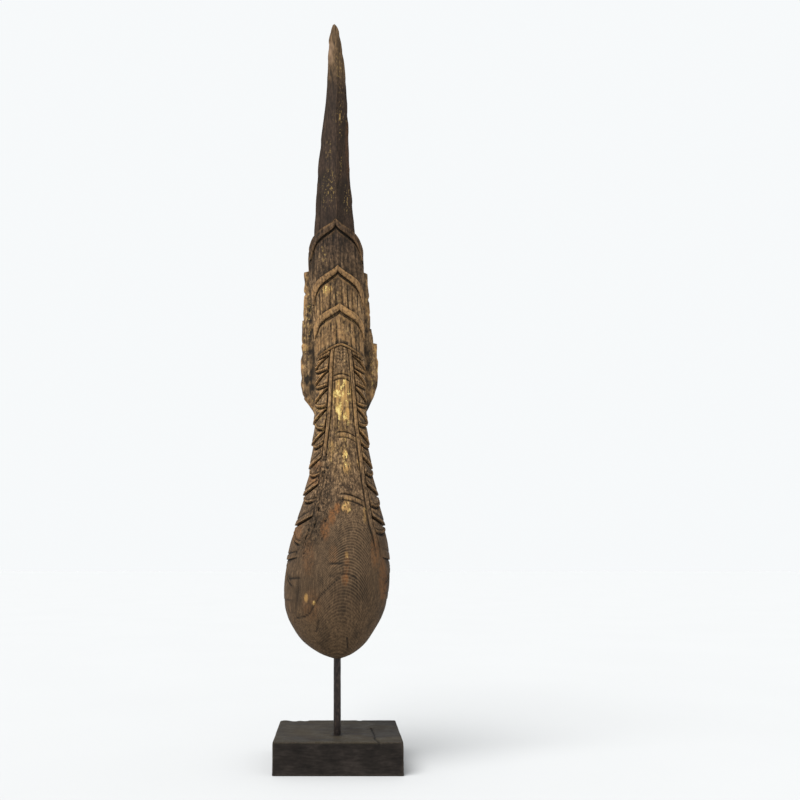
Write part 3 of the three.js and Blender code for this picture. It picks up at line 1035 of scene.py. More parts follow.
@dataclass(frozen=True)
class WeatheredTimber:
    """Old teak: dark on the horn, warm on the neck, with soot and painted shade in its cuts, worn edges with
    a painted highlight on rim tops and the keel, and gilding.
    """

    dark: tuple[Colour, ...] = ((0.010, 0.006, 0.004), (0.031, 0.0185, 0.0122), (0.064, 0.038, 0.024))
    warm: tuple[Colour, ...] = ((0.046, 0.026, 0.012), (0.145, 0.087, 0.041), (0.30, 0.19, 0.095))
    wood_stops: Triple = (0.34, 0.5, 0.66)
    gold: tuple[Colour, ...] = ((0.29, 0.18, 0.05), (0.6, 0.43, 0.14), (0.84, 0.68, 0.28))
    gold_stops: Triple = (0.36, 0.5, 0.62)
    # Dark colour of soot and rot, also used as painted shade in cuts, grooves, corners and ring gaps.
    soot_and_shade: Colour = (0.008, 0.006, 0.004)
    # Pale colour of worn edges, also used as a painted highlight on the rims' upper edges and the horn's
    # keel.
    worn_edge_and_highlight: Colour = (0.37, 0.207, 0.084)
    # Pale colour of the ring lines: partly the rings' own colour, partly a painted highlight on their ridges.
    pale_ring_and_highlight: Colour = (0.17, 0.112, 0.06)
    red_lacquer: Colour = (0.2, 0.078, 0.022)
    scraped_wood: Colour = (0.27, 0.17, 0.1)
    gold_stain: Colour = (0.55, 0.31, 0.095)
    speck_gold: Colour = (0.4, 0.27, 0.08)
    streak: Grain = Grain((430.0, 430.0, 22.0), 5.0, 0.65)
    fibre: Grain = Grain((1400.0, 1400.0, 80.0), 3.0, 0.6)
    mottle: Grain = Grain((42.0, 42.0, 20.0), 4.0, 0.6)
    fleck: Grain = Grain((330.0, 330.0, 210.0), 3.0, 0.7)
    flake: Grain = Grain((240.0, 240.0, 130.0), 6.0, 0.7)
    pit: Grain = Grain((420.0, 420.0, 200.0), 3.0, 0.6)
    calm_streak: float = 0.5
    pit_spread: Spread = (0.5, 0.58, 0.0, 1.0)
    fibre_shade: Spread = (0.3, 0.7, 0.55, 1.5)
    fleck_shade: Spread = (0.34, 0.66, 0.45, 1.6)
    mottle_soot: Spread = (0.35, 0.52, 0.42, 0.0)
    lacquer_left: Spread = (0.36, 0.62, 0.2, 0.8)
    ring_wave: float = 0.5
    # Ring lines get pale colour as a partly painted highlight, and the gaps between them painted shade.
    ring_line: Spread = (0.28, 0.46, 0.0, 1.0)
    ring_gap_and_shade: Spread = (0.04, 0.22, 0.6, 0.0)
    ring_paleness: float = 0.66
    stain_amount: Spread = (0.03, 0.45, 0.0, 0.85)
    stain_left: Spread = (0.4, 0.6, 0.0, 1.0)
    wear_and_highlight_left: Spread = (0.32, 0.58, 0.2, 1.0)
    scraped_left: Spread = (0.4, 0.56, 0.25, 1.0)
    rot_darkness: float = 0.55
    specks_left: Spread = (0.57, 0.64, 0.0, 0.85)
    flake_change: Spread = (0.3, 0.7, -0.55, 0.55)
    leaf_border: Spread = (0.5, 0.68, 0.0, 1.0)
    leaf_least: Spread = (0.12, 0.3, 0.0, 1.0)
    leaf_roughness: Spread = (0.0, 1.0, 0.78, 0.42)
    leaf_metal: float = 0.3
    gold_shares: Span = (0.5, 0.5)
    height_shares: Span = (0.5, 0.25)
    ring_height: float = 0.3
    rot_height: float = -0.8
    specular: float = 0.15
    bump_depth: float = 0.0011

    def bare_wood(
        self, graph: NodeGraph, streak: object, fibre: object, fleck: object,
    ) -> bpy.types.NodeSocket:
        """Colour of the wood without its marks.

        Args:
            graph: The material's graph.
            streak: Streaks along the grain.
            fibre: Fine fibres.
            fleck: Small flecks.

        Returns:
            The colour.
        """
        dark = graph.ramp(streak, self.wood_stops, self.dark)
        warm = graph.ramp(streak, self.wood_stops, self.warm)
        colour = graph.mix(graph.attribute("warmth"), dark, warm)
        colour = graph.mix(1.0, colour, graph.spread(fibre, self.fibre_shade), "MULTIPLY")
        lively = graph.math("SUBTRACT", 1.0, graph.attribute("calm"))
        colour = graph.mix(lively, colour, graph.spread(fleck, self.fleck_shade), "MULTIPLY")
        return graph.mix(graph.spread(graph.noise(self.mottle), self.mottle_soot), colour, self.soot_and_shade)

    def build(self) -> bpy.types.Material:
        """Makes the material.

        Returns:
            The material.
        """
        graph = NodeGraph("weathered_timber")
        ring_show = graph.attribute("ring_show")
        gilt = graph.attribute("gilt")
        plain_streak = graph.noise(self.streak)
        to_calm = graph.math("SUBTRACT", self.calm_streak, plain_streak)
        streak = graph.math("MULTIPLY_ADD", to_calm, graph.attribute("calm"), plain_streak)
        fibre = graph.noise(self.fibre)
        fleck = graph.noise(self.fleck)
        wave = graph.math("PINGPONG", graph.attribute("ring_phase"), self.ring_wave)
        ring_line = graph.through(ring_show, wave, self.ring_line)
        rotten = graph.through(graph.attribute("rot"), graph.noise(self.pit), self.pit_spread)
        rot_soot = graph.math("MULTIPLY", rotten, self.rot_darkness)
        stain = graph.through(graph.spread(gilt, self.stain_amount), streak, self.stain_left)
        marks = (
            (graph.through(graph.attribute("lacquer"), fleck, self.lacquer_left), self.red_lacquer),
            # Painted shade in the ring gaps and a partly painted highlight on the ring lines.
            (graph.through(ring_show, wave, self.ring_gap_and_shade), self.soot_and_shade),
            (graph.math("MULTIPLY", ring_line, self.ring_paleness), self.pale_ring_and_highlight),
            (stain, self.gold_stain),
            # Worn pale wood, with a painted highlight on rim tops and the keel.
            (graph.through(graph.attribute("wear_and_highlight"), fleck, self.wear_and_highlight_left), self.worn_edge_and_highlight),
            (graph.through(graph.attribute("scraped"), streak, self.scraped_left), self.scraped_wood),
            # Painted shade with soot in cuts, grooves and corners, and dark rot.
            (graph.math("MAXIMUM", graph.attribute("painted_shade_and_soot"), rot_soot), self.soot_and_shade),
            (graph.through(graph.attribute("speckle"), fleck, self.specks_left), self.speck_gold),
        )
        colour = self.bare_wood(graph, streak, fibre, fleck)
        for share, mark in marks:
            colour = graph.mix(share, colour, mark)
        flakes = graph.math("ADD", gilt, graph.spread(graph.noise(self.flake), self.flake_change))
        leaf = graph.through(graph.spread(flakes, self.leaf_border), gilt, self.leaf_least)
        shade = graph.blend(fibre, fleck, self.gold_shares)
        colour = graph.mix(leaf, colour, graph.ramp(shade, self.gold_stops, self.gold))
        height = graph.blend(streak, fibre, self.height_shares)
        height = graph.math("MULTIPLY_ADD", ring_line, self.ring_height, height)
        height = graph.math("MULTIPLY_ADD", rotten, self.rot_height, height)
        graph.feed(graph.shader.inputs["Metallic"], graph.math("MULTIPLY", leaf, self.leaf_metal))
        graph.shader.inputs["Specular IOR Level"].default_value = self.specular
        graph.finish(colour, graph.spread(leaf, self.leaf_roughness), height, self.bump_depth)
        return graph.material


@dataclass(frozen=True)
class DarkSteel:
    """Brown-black steel bar with patches of rust and rubbed metal."""

    brown: tuple[Colour, ...] = ((0.008, 0.005, 0.004), (0.02, 0.013, 0.010), (0.055, 0.036, 0.027))
    brown_stops: Triple = (0.36, 0.52, 0.72)
    patches: Grain = Grain((420.0, 420.0, 160.0), 4.0, 0.6)
    grit: Grain = Grain((1500.0, 1500.0, 900.0), 3.0, 0.6)
    metallic: float = 0.5
    roughness: Spread = (0.3, 0.7, 0.5, 0.28)
    bump_depth: float = 0.0003

    def build(self) -> bpy.types.Material:
        """Makes the material.

        Returns:
            The material.
        """
        graph = NodeGraph("dark_steel")
        patches = graph.noise(self.patches)
        colour = graph.ramp(patches, self.brown_stops, self.brown)
        graph.shader.inputs["Metallic"].default_value = self.metallic
        graph.finish(colour, graph.spread(patches, self.roughness), graph.noise(self.grit), self.bump_depth)
        return graph.material


@dataclass(frozen=True)
class BlackPaint:
    """Matt black paint brushed on wood, with grain showing through, rubbed edges, dust on top and painted
    shade in the crack.
    """

    paint: tuple[Colour, ...] = ((0.007, 0.0055, 0.0045), (0.0155, 0.0122, 0.0102), (0.03, 0.024, 0.0205))
    paint_stops: Triple = (0.35, 0.5, 0.66)
    dust: Colour = (0.029, 0.0225, 0.0138)
    rubbed: Colour = (0.05, 0.041, 0.03)
    # Near-black painted shade inside the crack.
    crack: Colour = (0.004, 0.004, 0.003)
    grain: Grain = Grain((70.0, 300.0, 420.0), 4.0, 0.6)
    blotch: Grain = Grain((40.0, 40.0, 60.0), 4.0, 0.65)
    grit: Grain = Grain((700.0, 900.0, 900.0), 3.0, 0.6)
    settled: Grain = Grain((16.0, 46.0, 46.0), 4.0, 0.6)
    paint_shares: Span = (0.6, 0.4)
    dust_left: Spread = (0.36, 0.62, 0.1, 1.0)
    rubbed_left: Spread = (0.42, 0.6, 0.0, 0.8)
    height_shares: Span = (0.6, 0.3)
    specular: float = 0.1
    roughness: Spread = (0.3, 0.7, 0.62, 0.82)
    bump_depth: float = 0.0006

    def build(self) -> bpy.types.Material:
        """Makes the material.

        Returns:
            The material.
        """
        graph = NodeGraph("black_painted_wood")
        grain = graph.noise(self.grain)
        blotch = graph.noise(self.blotch)
        grit = graph.noise(self.grit)
        settled = graph.noise(self.settled)
        colour = graph.ramp(graph.blend(blotch, grain, self.paint_shares), self.paint_stops, self.paint)
        colour = graph.mix(graph.through(graph.attribute("dust"), settled, self.dust_left), colour, self.dust)
        rubbed = graph.through(graph.attribute("rubbed"), grit, self.rubbed_left)
        colour = graph.mix(rubbed, colour, self.rubbed)
        # Painted shade along the crack.
        colour = graph.mix(graph.attribute("cracked"), colour, self.crack)
        graph.shader.inputs["Specular IOR Level"].default_value = self.specular
        height = graph.blend(grain, grit, self.height_shares)
        graph.finish(colour, graph.spread(blotch, self.roughness), height, self.bump_depth)
        return graph.material


@dataclass(frozen=True)
class PaleFloor:
    """Plain pale studio floor with a faint mottle."""

    shades: tuple[Colour, ...] = ((0.493, 0.497, 0.498), (0.5, 0.504, 0.505))
    shade_stops: Span = (0.3, 0.7)
    mottle: Grain = Grain((3.0, 3.0, 3.0), 2.0, 0.5)
    roughness: float = 0.9
    specular: float = 0.1

    def build(self) -> bpy.types.Material:
        """Makes the material.

        Returns:
            The material.
        """
        graph = NodeGraph("pale_floor")
        colour = graph.ramp(graph.noise(self.mottle), self.shade_stops, self.shades)
        graph.feed(graph.shader.inputs["Base Color"], colour)
        graph.shader.inputs["Roughness"].default_value = self.roughness
        graph.shader.inputs["Specular IOR Level"].default_value = self.specular
        return graph.material


# Pieces


def write_attributes(mesh: bpy.types.Mesh, values: dict[str, Array]) -> None:
    """Stores one value for each vertex under each name.

    Args:
        mesh: The mesh.
        values: Arrays by name, in the order of the vertices.
    """
    for name, value in values.items():
        attribute = mesh.attributes.new(name, "FLOAT", "POINT")
        attribute.data.foreach_set("value", np.ascontiguousarray(value, np.float32))


def read_places(mesh: bpy.types.Mesh) -> Array:
    """Places of a mesh's vertices in mm, with three columns."""
    places = np.empty(3 * len(mesh.vertices), np.float32)
    mesh.vertices.foreach_get("co", places)
    return places.reshape(-1, 3).astype(float) / MM


def write_places(mesh: bpy.types.Mesh, places: Array) -> None:
    """Moves a mesh's vertices to places in mm."""
    mesh.vertices.foreach_set("co", (places * MM).astype(np.float32).ravel())
    mesh.update()


def edge_length(edge: bmesh.types.BMEdge, axis: int) -> float:
    """Length of an edge along one axis."""
    return abs(edge.verts[0].co[axis] - edge.verts[1].co[axis])


def mesh_from(bm: bmesh.types.BMesh, name: str) -> bpy.types.Mesh:
    """Ends a bmesh and gives its mesh."""
    mesh = bpy.data.meshes.new(name)
    bm.to_mesh(mesh)
    bm.free()
    return mesh


def link_piece(mesh: bpy.types.Mesh, material: bpy.types.Material, sharp_angle: float) -> bpy.types.Object:
    """Makes a smooth-shaded object of a finished mesh.

    Args:
        mesh: The mesh, which also names the object.
        material: Its finish.
        sharp_angle: Edges that turn by more than this angle, in degrees, stay sharp.

    Returns:
        The object.
    """
    mesh.materials.clear()
    mesh.materials.append(material)
    mesh.shade_smooth()
    mesh.set_sharp_from_angle(angle=math.radians(sharp_angle))
    piece = bpy.data.objects.new(mesh.name, mesh)
    bpy.context.scene.collection.objects.link(piece)
    return piece


@dataclass
class Skin:
    """The carved surface as arrays: places, level against its surroundings, and the plates' parts."""

    spots: Spots
    places: Array
    level: Array
    raised: Array
    crest: Array
    plates: Array
    corner: Array
    edge: Array
    patches: Array


@dataclass
class CarvedFinial:
    """The carving in one piece of timber, from the horn's tip to the rod's socket in its foot."""

    form: CarvedForm
    carving: Carving
    hood: Hood
    finish: WeatheredTimber
    socket_axis: tuple[float, float] = (-1.0, -27.0)
    socket_radius: float = 5.0
    socket_top: float = 164.8
    socket_mouth: float = 131.8
    column_steps: tuple[tuple[float, int], ...] = ((5, 26), (8, 14), (14, 40), (15, 8), (22, 28))
    row_zones: tuple[tuple[float, float, float], ...] = (
        (1067.4, 1000, 3.4), (1000, 706, 6.6), (706, 541, 2.0), (541, 256, 1.72), (256, 160, 2.0),
        (160, 133, 2.4),
    )
    crisp_gap: float = 0.3
    sharp_angle: float = 48.0
    gilding: tuple[Patch, ...] = (
        Patch(2, 459, 5, 6, 0.55), Patch(13, 457, 4, 5, 0.55), Patch(7, 450, 8, 6, 0.55),
        Patch(-2, 482, 5, 6, 0.5), Patch(6, 481, 16, 27, 0.33), Patch(6, 500, 9, 5, 0.3),
        Patch(6, 440, 14, 18, 0.2), Patch(5, 390, 20, 40, 0.1), Patch(16, 335, 14, 6, 0.2),
        Patch(9.5, 396, 4, 7, 0.34), Patch(11, 378, 6, 11, 0.2), Patch(11, 323, 7, 8, 0.36),
        Patch(11, 262, 2.5, 5, 0.36), Patch(-16, 640, 8, 8, 0.52), Patch(-40, 209, 3, 6, 0.42),
        Patch(-30, 203, 2.5, 3.5, 0.38), Patch(29, 388, 4, 18, 0.18), Patch(36, 315, 4, 14, 0.24),
        Patch(-9, 402, 5, 16, 0.16), Patch(3, 918, 1.6, 4, 0.55), Patch(55, 540, 6, 30, 0.28),
        Patch(-49, 612, 5, 14, 0.3),
    )
    speckles: tuple[Patch, ...] = (
        Patch(-14, 802, 11, 32, 0.55), Patch(14, 788, 6, 26, 0.7), Patch(4, 880, 2, 60, 0.7),
        Patch(4, 970, 5, 34, 0.6), Patch(2, 918, 12, 14, 0.4), Patch(-14, 868, 6, 20, 0.35),
        Patch(2, 1005, 8, 20, 0.4), Patch(53, 530, 7, 46), Patch(-47, 600, 8, 80, 0.8),
        Patch(46, 640, 6, 50, 0.5), Patch(0, 600, 34, 60, 0.35), Patch(-28, 455, 14, 40, 0.8),
        Patch(34, 450, 10, 50, 0.5), Patch(5, 450, 20, 80, 0.5), Patch(-22, 690, 6, 20, 0.6),
    )
    lacquer: tuple[Patch, ...] = (
        Patch(-1, 323, 4, 8), Patch(-8, 311, 5, 11), Patch(-17, 295, 6, 14), Patch(58, 232, 6, 30, 0.7),
        Patch(9, 232, 4, 8, 0.7), Patch(48, 268, 6, 24, 0.6), Patch(-38, 262, 8, 26, 0.3),
        Patch(-34, 200, 12, 20, 0.3), Patch(56, 505, 7, 22, 0.6), Patch(-6, 262, 6, 14, 0.35),
        Patch(16, 880, 5, 60, 0.3), Patch(-33, 363, 9, 9, 0.6), Patch(-54, 293, 8, 14, 0.5),
        Patch(-28, 382, 7, 8, 0.5), Patch(11, 250, 3.5, 20, 0.5),
    )
    # Listed dark patches on the front.
    dark_patches: tuple[Patch, ...] = (
        Patch(-45, 511, 5, 7, 0.7), Patch(-38, 499, 4, 5, 0.8), Patch(-47, 660, 4, 8, 0.3),
        Patch(46, 470, 7, 12, 0.5), Patch(-42, 620, 4, 7, 0.4),
    )
    scrapes: tuple[Patch, ...] = (Patch(-13, 1030, 7, 11, 0.9), Patch(-12, 1013, 5, 9, 0.6))
    warmth: Profile = Profile((
        (130, 0.52), (180, 0.4), (220, 0.33), (270, 0.36), (320, 0.46), (400, 0.64), (480, 0.86), (540, 1),
        (600, 1), (640, 0.66), (690, 0.3), (720, 0.1), (780, 0.02), (960, 0.05), (1000, 0.6), (1068, 0.8),
    ))
    wear: Profile = Profile((
        (150, 0.05), (260, 0.16), (330, 0.34), (390, 0.6), (440, 0.95), (640, 1), (680, 0.75), (720, 0.4),
        (1068, 0.4),
    ))
    ring_fade: Span = (295.0, 325.0)
    ring_angles: Span = (math.radians(46), math.radians(72))
    ring_faint: float = 0.42
    ring_strong_heights: Span = (195.0, 245.0)
    ring_patches: Unevenness = Unevenness((24, 24, 24), 42)
    ring_patch_shares: Span = (0.6, 0.4)
    ring_bend: float = 17.0
    ring_pitch: Span = (4.4, 3.5)
    ring_centre: Span = (3.0, 18.0)
    ring_heights: Span = (180.0, 290.0)
    ring_centre_limits: Span = (-0.3, 1.2)
    ring_least_pitch: float = 1.0
    ring_wander: Unevenness = Unevenness((15, 15, 15), 41)
    ring_wander_height: float = 0.9
    broad_window: int = 3
    close_window: int = 1
    corner_columns: Triple = (13.2, 14.5, 0.8)
    corner_window: int = 8
    corner_least: float = 1.5
    edge_start_columns: Span = (14.7, 15.0)
    edge_end_columns: Span = (15.6, 16.6)
    edge_least: float = 3.0
    plate_columns: Triple = (13.6, 16.4, 0.6)
    plate_patches: Unevenness = Unevenness((9, 9, 14), 43)
    plate_patch_range: Span = (-0.2, 0.7)
    plate_wear: float = 0.85
    right_plate_wear: Span = (0.15, 0.25)
    plate_edge_wear: float = 0.5
    plate_blotches: Unevenness = Unevenness((5, 5, 8), 46)
    plate_blotch_range: Span = (0.1, 0.7)
    # Painted highlight along the horn's keel and on the rims' upper edges, weaker towards the sides.
    keel_columns: float = 0.45
    keel_highlight_strength: float = 1.6
    rim_rows: int = 2
    rim_highlight_steps: Span = (0.5, 1.6)
    rim_side_highlight: float = 0.35
    rim_side_columns: Span = (0.5, 7.0)
    crest_steps: Span = (0.1, 0.75)
    raised_step: float = 0.5
    raised_wear: float = 0.4
    sheath_crest_wear: float = 0.5
    sheath_start: Span = (532.0, 536.0)
    wear_patches: Unevenness = Unevenness((16, 16, 20), 44)
    wear_patch_shares: Span = (0.9, 0.55)
    ridge_columns: Triple = (5.3, 7.7, 0.6)
    ridge_heights: Span = (300.0, 400.0)
    ridge_wear: float = 0.45
    ridge_streaks: Unevenness = Unevenness((6, 6, 26), 48)
    ridge_streak_mean: float = 0.6
    field_wear: Span = (0.32, 0.62)
    field_streaks: Unevenness = Unevenness((5, 5, 24), 45)
    field_streak_mean: float = 0.7
    # Strengths of the painted shade in cuts, recesses, under the rims and beside the plates, mixed with soot.
    sunk_depths: Span = (0.45, 1.3)
    sunk_shade: float = 0.8
    groove_shade_and_soot: float = 0.72
    groove_shade_and_soot_fall: float = 6.0
    corner_shade: float = 0.5
    blotch_soot: float = 0.4
    most_shade_and_soot: float = 0.95
    gilt_breaks: Unevenness = Unevenness((4.5, 4.5, 12), 47)
    gilt_break_shares: Span = (0.85, 0.45)
    back_warmth: float = 0.55
    plate_warmth: float = 0.3
    calm_breast: float = 0.66
    calm_horn: float = 0.62
    calm_heights: Span = (270.0, 340.0)

    def rows(self) -> Array:
        """Heights of the net's rows from the tip down, with a close pair at each step of the carving.

        Returns:
            Heights at the flank, in mm.
        """
        smooth = np.concatenate([np.arange(top, foot, -step) for top, foot, step in self.row_zones])
        plates = {plate.top for plate in (*self.hood.left, *self.hood.right)}
        steps = [*plates, *self.carving.leaf_edges()[1:]]
        for sheath in self.form.sheaths:
            inner = sheath.foot - sheath.rim
            steps += [sheath.foot, inner, inner - self.form.groove_width]
        crisp = np.concatenate([np.array(steps) + self.crisp_gap, np.array(steps) - self.crisp_gap])
        crisp = np.concatenate([crisp, *(band.lines for band in self.carving.bands)])
        apart = np.abs(smooth[:, None] - crisp).min(axis=1) > 2 * self.crisp_gap
        return np.sort(np.concatenate([smooth[apart], crisp]))[::-1]

    def columns(self) -> Array:
        """Column numbers of one side's net, from the middle of the front to the middle of the back."""
        ends, counts = np.array(self.column_steps).T
        places = np.concatenate([[0], np.cumsum(counts)])
        return np.interp(np.arange(places[-1] + 1), places, np.concatenate([[0], ends]))

    def ring_phase(self, places: Array) -> Array:
        """Number of the growth ring at each place: arches that follow one another down the breast.

        Args:
            places: Points in mm, with three columns.

        Returns:
            Ring numbers.
        """
        x = places[..., 0]
        foot, top = self.ring_heights
        above_foot = places[..., 2] - foot
        up = np.clip(above_foot / (top - foot), *self.ring_centre_limits)
        bend = (x - lerp(*self.ring_centre, up)) ** 2 / (2 * self.ring_bend)
        low, high = self.ring_pitch
        slope = (high - low) / (top - foot)
        arched = above_foot + bend + self.ring_wander_height * self.ring_wander.at(places)
        return np.log(np.maximum(low + slope * arched, self.ring_least_pitch)) / slope

    def ring_show(self, skin: Skin) -> Array:
        """How plainly the growth rings show: most in the middle of the breast.

        Args:
            skin: The carved surface.

        Returns:
            Values from 0 to 1.
        """
        z = skin.spots.z
        mean, swing = self.ring_patch_shares
        on_breast = 1 - smoothstep(z, *self.ring_fade)
        inside = 1 - smoothstep(skin.spots.angle, *self.ring_angles)
        patchy = mean + swing * self.ring_patches.at(skin.places)
        strength = lerp(self.ring_faint, 1, smoothstep(z, *self.ring_strong_heights))
        return on_breast * inside * skin.spots.on_front * patchy * strength

    def skin(self, spots: Spots, relief: Array, stand_out: Array) -> Skin:
        """Measures the carved surface.

        Args:
            spots: Places on the plain form.
            relief: Relief in mm.
            stand_out: How far the hood's plates stand out, in mm.

        Returns:
            The surface.
        """
        places = spots.moved(relief, stand_out)
        step = self.form.sheath_step * (len(self.form.sheaths) - 1 - spots.sheath)
        level = relief - step * np.maximum(np.cos(spots.angle), 0)
        broad = (self.broad_window, self.broad_window)
        close = (self.close_window, self.close_window)
        near_plates = blurred(stand_out, self.close_window, self.corner_window) > self.corner_least
        on_edge = smoothstep(spots.column, *self.edge_start_columns)
        on_edge = on_edge * (1 - smoothstep(spots.column, *self.edge_end_columns))
        return Skin(
            spots=spots,
            places=places,
            level=level,
            raised=level - blurred(blurred(level, *broad), *broad),
            crest=level - blurred(blurred(level, *close), *close),
            plates=strip(spots.column, *self.plate_columns),
            corner=strip(spots.column, *self.corner_columns) * near_plates,
            edge=on_edge * (stand_out > self.edge_least),
            patches=smoothstep(self.plate_patches.at(places), *self.plate_patch_range),
        )

    def wear_and_highlight(self, skin: Skin) -> Array:
        """Where wear has laid pale wood bare on crests, ridges, flute fields and the plates, with a painted
        highlight on the rims' upper edges and along the keel.

        Args:
            skin: The carved surface.

        Returns:
            Values from 0 to 1.
        """
        spots = skin.spots
        # Painted highlight on each rim's upper edge, where it stands over the rows above it.
        over = skin.level - np.roll(blurred(skin.level, self.close_window, 0), self.rim_rows, axis=0)
        first, rise = self.rim_highlight_steps
        to_side = smoothstep(spots.column, *self.rim_side_columns)
        rims = np.clip((over - first) / rise, 0, 1) * lerp(1, self.rim_side_highlight, to_side)
        first, rise = self.crest_steps
        crests = self.raised_wear * (skin.raised - self.raised_step) + (skin.crest - first) / rise
        crests = np.clip(crests, 0, 1)
        sheathed = smoothstep(spots.flank, *self.sheath_start)
        # Painted highlight along the horn's keel.
        keel_highlight = (spots.sheath < 0) * notch(spots.column, self.keel_columns) * self.keel_highlight_strength
        mean, swing = self.right_plate_wear
        plates = self.plate_wear * skin.patches + (mean + swing * skin.patches) * (spots.side > 0)
        wear_and_highlight = lerp(crests, np.maximum(rims, self.sheath_crest_wear * crests), sheathed)
        wear_and_highlight = wear_and_highlight + keel_highlight + skin.plates * plates
        mean, swing = self.wear_patch_shares
        wear_and_highlight = wear_and_highlight * (mean + swing * self.wear_patches.at(skin.places))
        ridges = strip(spots.column, *self.ridge_columns) * smoothstep(spots.z, *self.ridge_heights)
        ridges = ridges * (spots.flank < self.form.sheaths[-1].foot)
        streaks = np.clip(self.ridge_streak_mean + self.ridge_streaks.at(skin.places), 0, 1)
        wear_and_highlight = wear_and_highlight + self.ridge_wear * ridges * streaks
        fields = (spots.sheath >= 1) & (spots.flank > self.carving.leaf_top)
        fields = fields & (spots.column < self.carving.border_column)
        streaks = np.clip(self.field_streak_mean + self.field_streaks.at(skin.places), 0, 1)
        wear_and_highlight = wear_and_highlight + np.where(spots.sheath == 1, *self.field_wear) * fields * streaks
        return np.clip(wear_and_highlight + self.plate_edge_wear * skin.edge * skin.patches, 0, 1) * self.wear(spots.z)

    def painted_shade_and_soot(self, skin: Skin) -> Array:
        """Painted shade in cuts and grooves, under the rims and behind the plates, with soot blotches on the
        plates and listed dark patches.

        Args:
            skin: The carved surface.

        Returns:
            Values from 0 to 1.
        """
        spots = skin.spots
        blotches = skin.plates * smoothstep(self.plate_blotches.at(skin.places), *self.plate_blotch_range)
        sharp, broad = self.sunk_depths
        # Painted shade in narrow cuts and broad recesses.
        in_cuts = np.clip(-skin.crest / sharp, 0, self.most_shade_and_soot)
        sunk = np.maximum(in_cuts, self.sunk_shade * np.clip(-skin.raised / broad, 0, 1))
        feet = [sheath.foot - sheath.rim - self.form.groove_width for sheath in self.form.sheaths]
        past_groove = np.array(feet)[np.maximum(spots.sheath, 0)] - spots.flank
        shaded = (spots.sheath >= 0) & (past_groove > 0) & (spots.flank > self.carving.leaf_top)
        shaded = shaded & (spots.column < self.carving.field_end_column)
        # Painted shade with soot under each rim's groove, fading down the field.
        under_rims = self.groove_shade_and_soot * shaded * np.exp(-np.maximum(past_groove, 0) / self.groove_shade_and_soot_fall)
        marks = covered(self.dark_patches, skin.places) + under_rims
        # Dark patches, painted shade in the corners beside the plates, and soot blotches on the plates.
        soot_and_shade = sunk + marks + self.corner_shade * skin.corner + self.blotch_soot * blotches
        return np.clip(soot_and_shade, 0, self.most_shade_and_soot)

    def masks(self, skin: Skin) -> dict[str, Array]:
        """Where the finish shows soot with painted shade, wear with painted highlights, gilding, lacquer,
        rings and rot.

        Args:
            skin: The carved surface.

        Returns:
            Values by name for each row and column.
        """
        z = skin.spots.z
        front = skin.spots.on_front
        mean, swing = self.gilt_break_shares
        broken = mean + swing * self.gilt_breaks.at(skin.places)
        warmed = lerp(self.back_warmth, 1, np.maximum(front, skin.plates)) + self.plate_warmth * skin.plates
        calm_breast = self.calm_breast * (1 - smoothstep(z, *self.calm_heights))
        speckled = np.clip(covered(self.speckles, skin.places), 0, 1)
        return {
            # Painted shade with soot.
            "painted_shade_and_soot": self.painted_shade_and_soot(skin),
            # Wear with painted highlights.
            "wear_and_highlight": self.wear_and_highlight(skin),
            "gilt": covered(self.gilding, skin.places) * np.maximum(front, skin.edge) * broken,
            "lacquer": np.clip(covered(self.lacquer, skin.places), 0, 1) * front,
            "scraped": np.clip(covered(self.scrapes, skin.places), 0, 1) * front,
            "rot": self.carving.rot(skin.spots),
            "warmth": self.warmth(z) * warmed,
            "ring_phase": self.ring_phase(skin.places),
            "ring_show": self.ring_show(skin),
            "calm": np.maximum(calm_breast, self.calm_horn * (skin.spots.sheath < 0)),
            "speckle": speckled * np.maximum(front, skin.plates),
        }

    def build(self) -> bpy.types.Object:
        """Draws the net onto the carved form and dresses it.

        Returns:
            The piece.
        """
        rows = self.rows()
        half = self.columns()
        columns = np.concatenate([half, half[-2:0:-1]])
        sides = np.where(np.arange(len(columns)) < len(half), Side.RIGHT.value, Side.LEFT.value)
        flank, column = np.meshgrid(rows, columns, indexing="ij")
        spots = self.form.spots(flank, column, np.broadcast_to(sides, flank.shape))
        relief = self.carving.relief(self.form, spots)
        skin = self.skin(spots, relief, self.hood.stand_out(spots))
        turn = np.arange(len(columns)) * 2 * math.pi / len(columns)
        axis_x, axis_y = self.socket_axis
        ring_x = axis_x + self.socket_radius * np.sin(turn)
        ring_y = axis_y - self.socket_radius * np.cos(turn)
        rings = [np.stack([ring_x, ring_y, np.full_like(turn, z)], axis=-1)
                 for z in (self.socket_mouth, self.socket_top)]
        net = np.concatenate([skin.places, np.array(rings)])
        bm = bmesh.new()
        bmesh.ops.create_uvsphere(bm, u_segments=len(columns), v_segments=len(net) + 1, radius=1)
        mesh = mesh_from(bm, "finial_carving")
        sphere = read_places(mesh) * MM
        polar = np.arctan2(np.hypot(sphere[:, 0], sphere[:, 1]), sphere[:, 2])
        row = np.rint(polar / math.pi * (len(net) + 1)).astype(int) - 1
        azimuth = np.arctan2(sphere[:, 0], -sphere[:, 1]) / (2 * math.pi)
        spot = np.rint(azimuth * len(columns)).astype(int) % len(columns)
        drawn = net[np.clip(row, 0, len(net) - 1), spot]
        tip_z = self.form.tip_z
        drawn[row < 0] = (self.form.centre_x(tip_z), self.form.horn_side_y(tip_z), tip_z)
        drawn[row >= len(net)] = (axis_x, axis_y, self.socket_top)
        write_places(mesh, drawn)
        on_skin = np.clip(row, 0, len(rows) - 1)
        masks = self.masks(skin)
        write_attributes(mesh, {name: value[on_skin, spot] for name, value in masks.items()})
        return link_piece(mesh, self.finish.build(), self.sharp_angle)


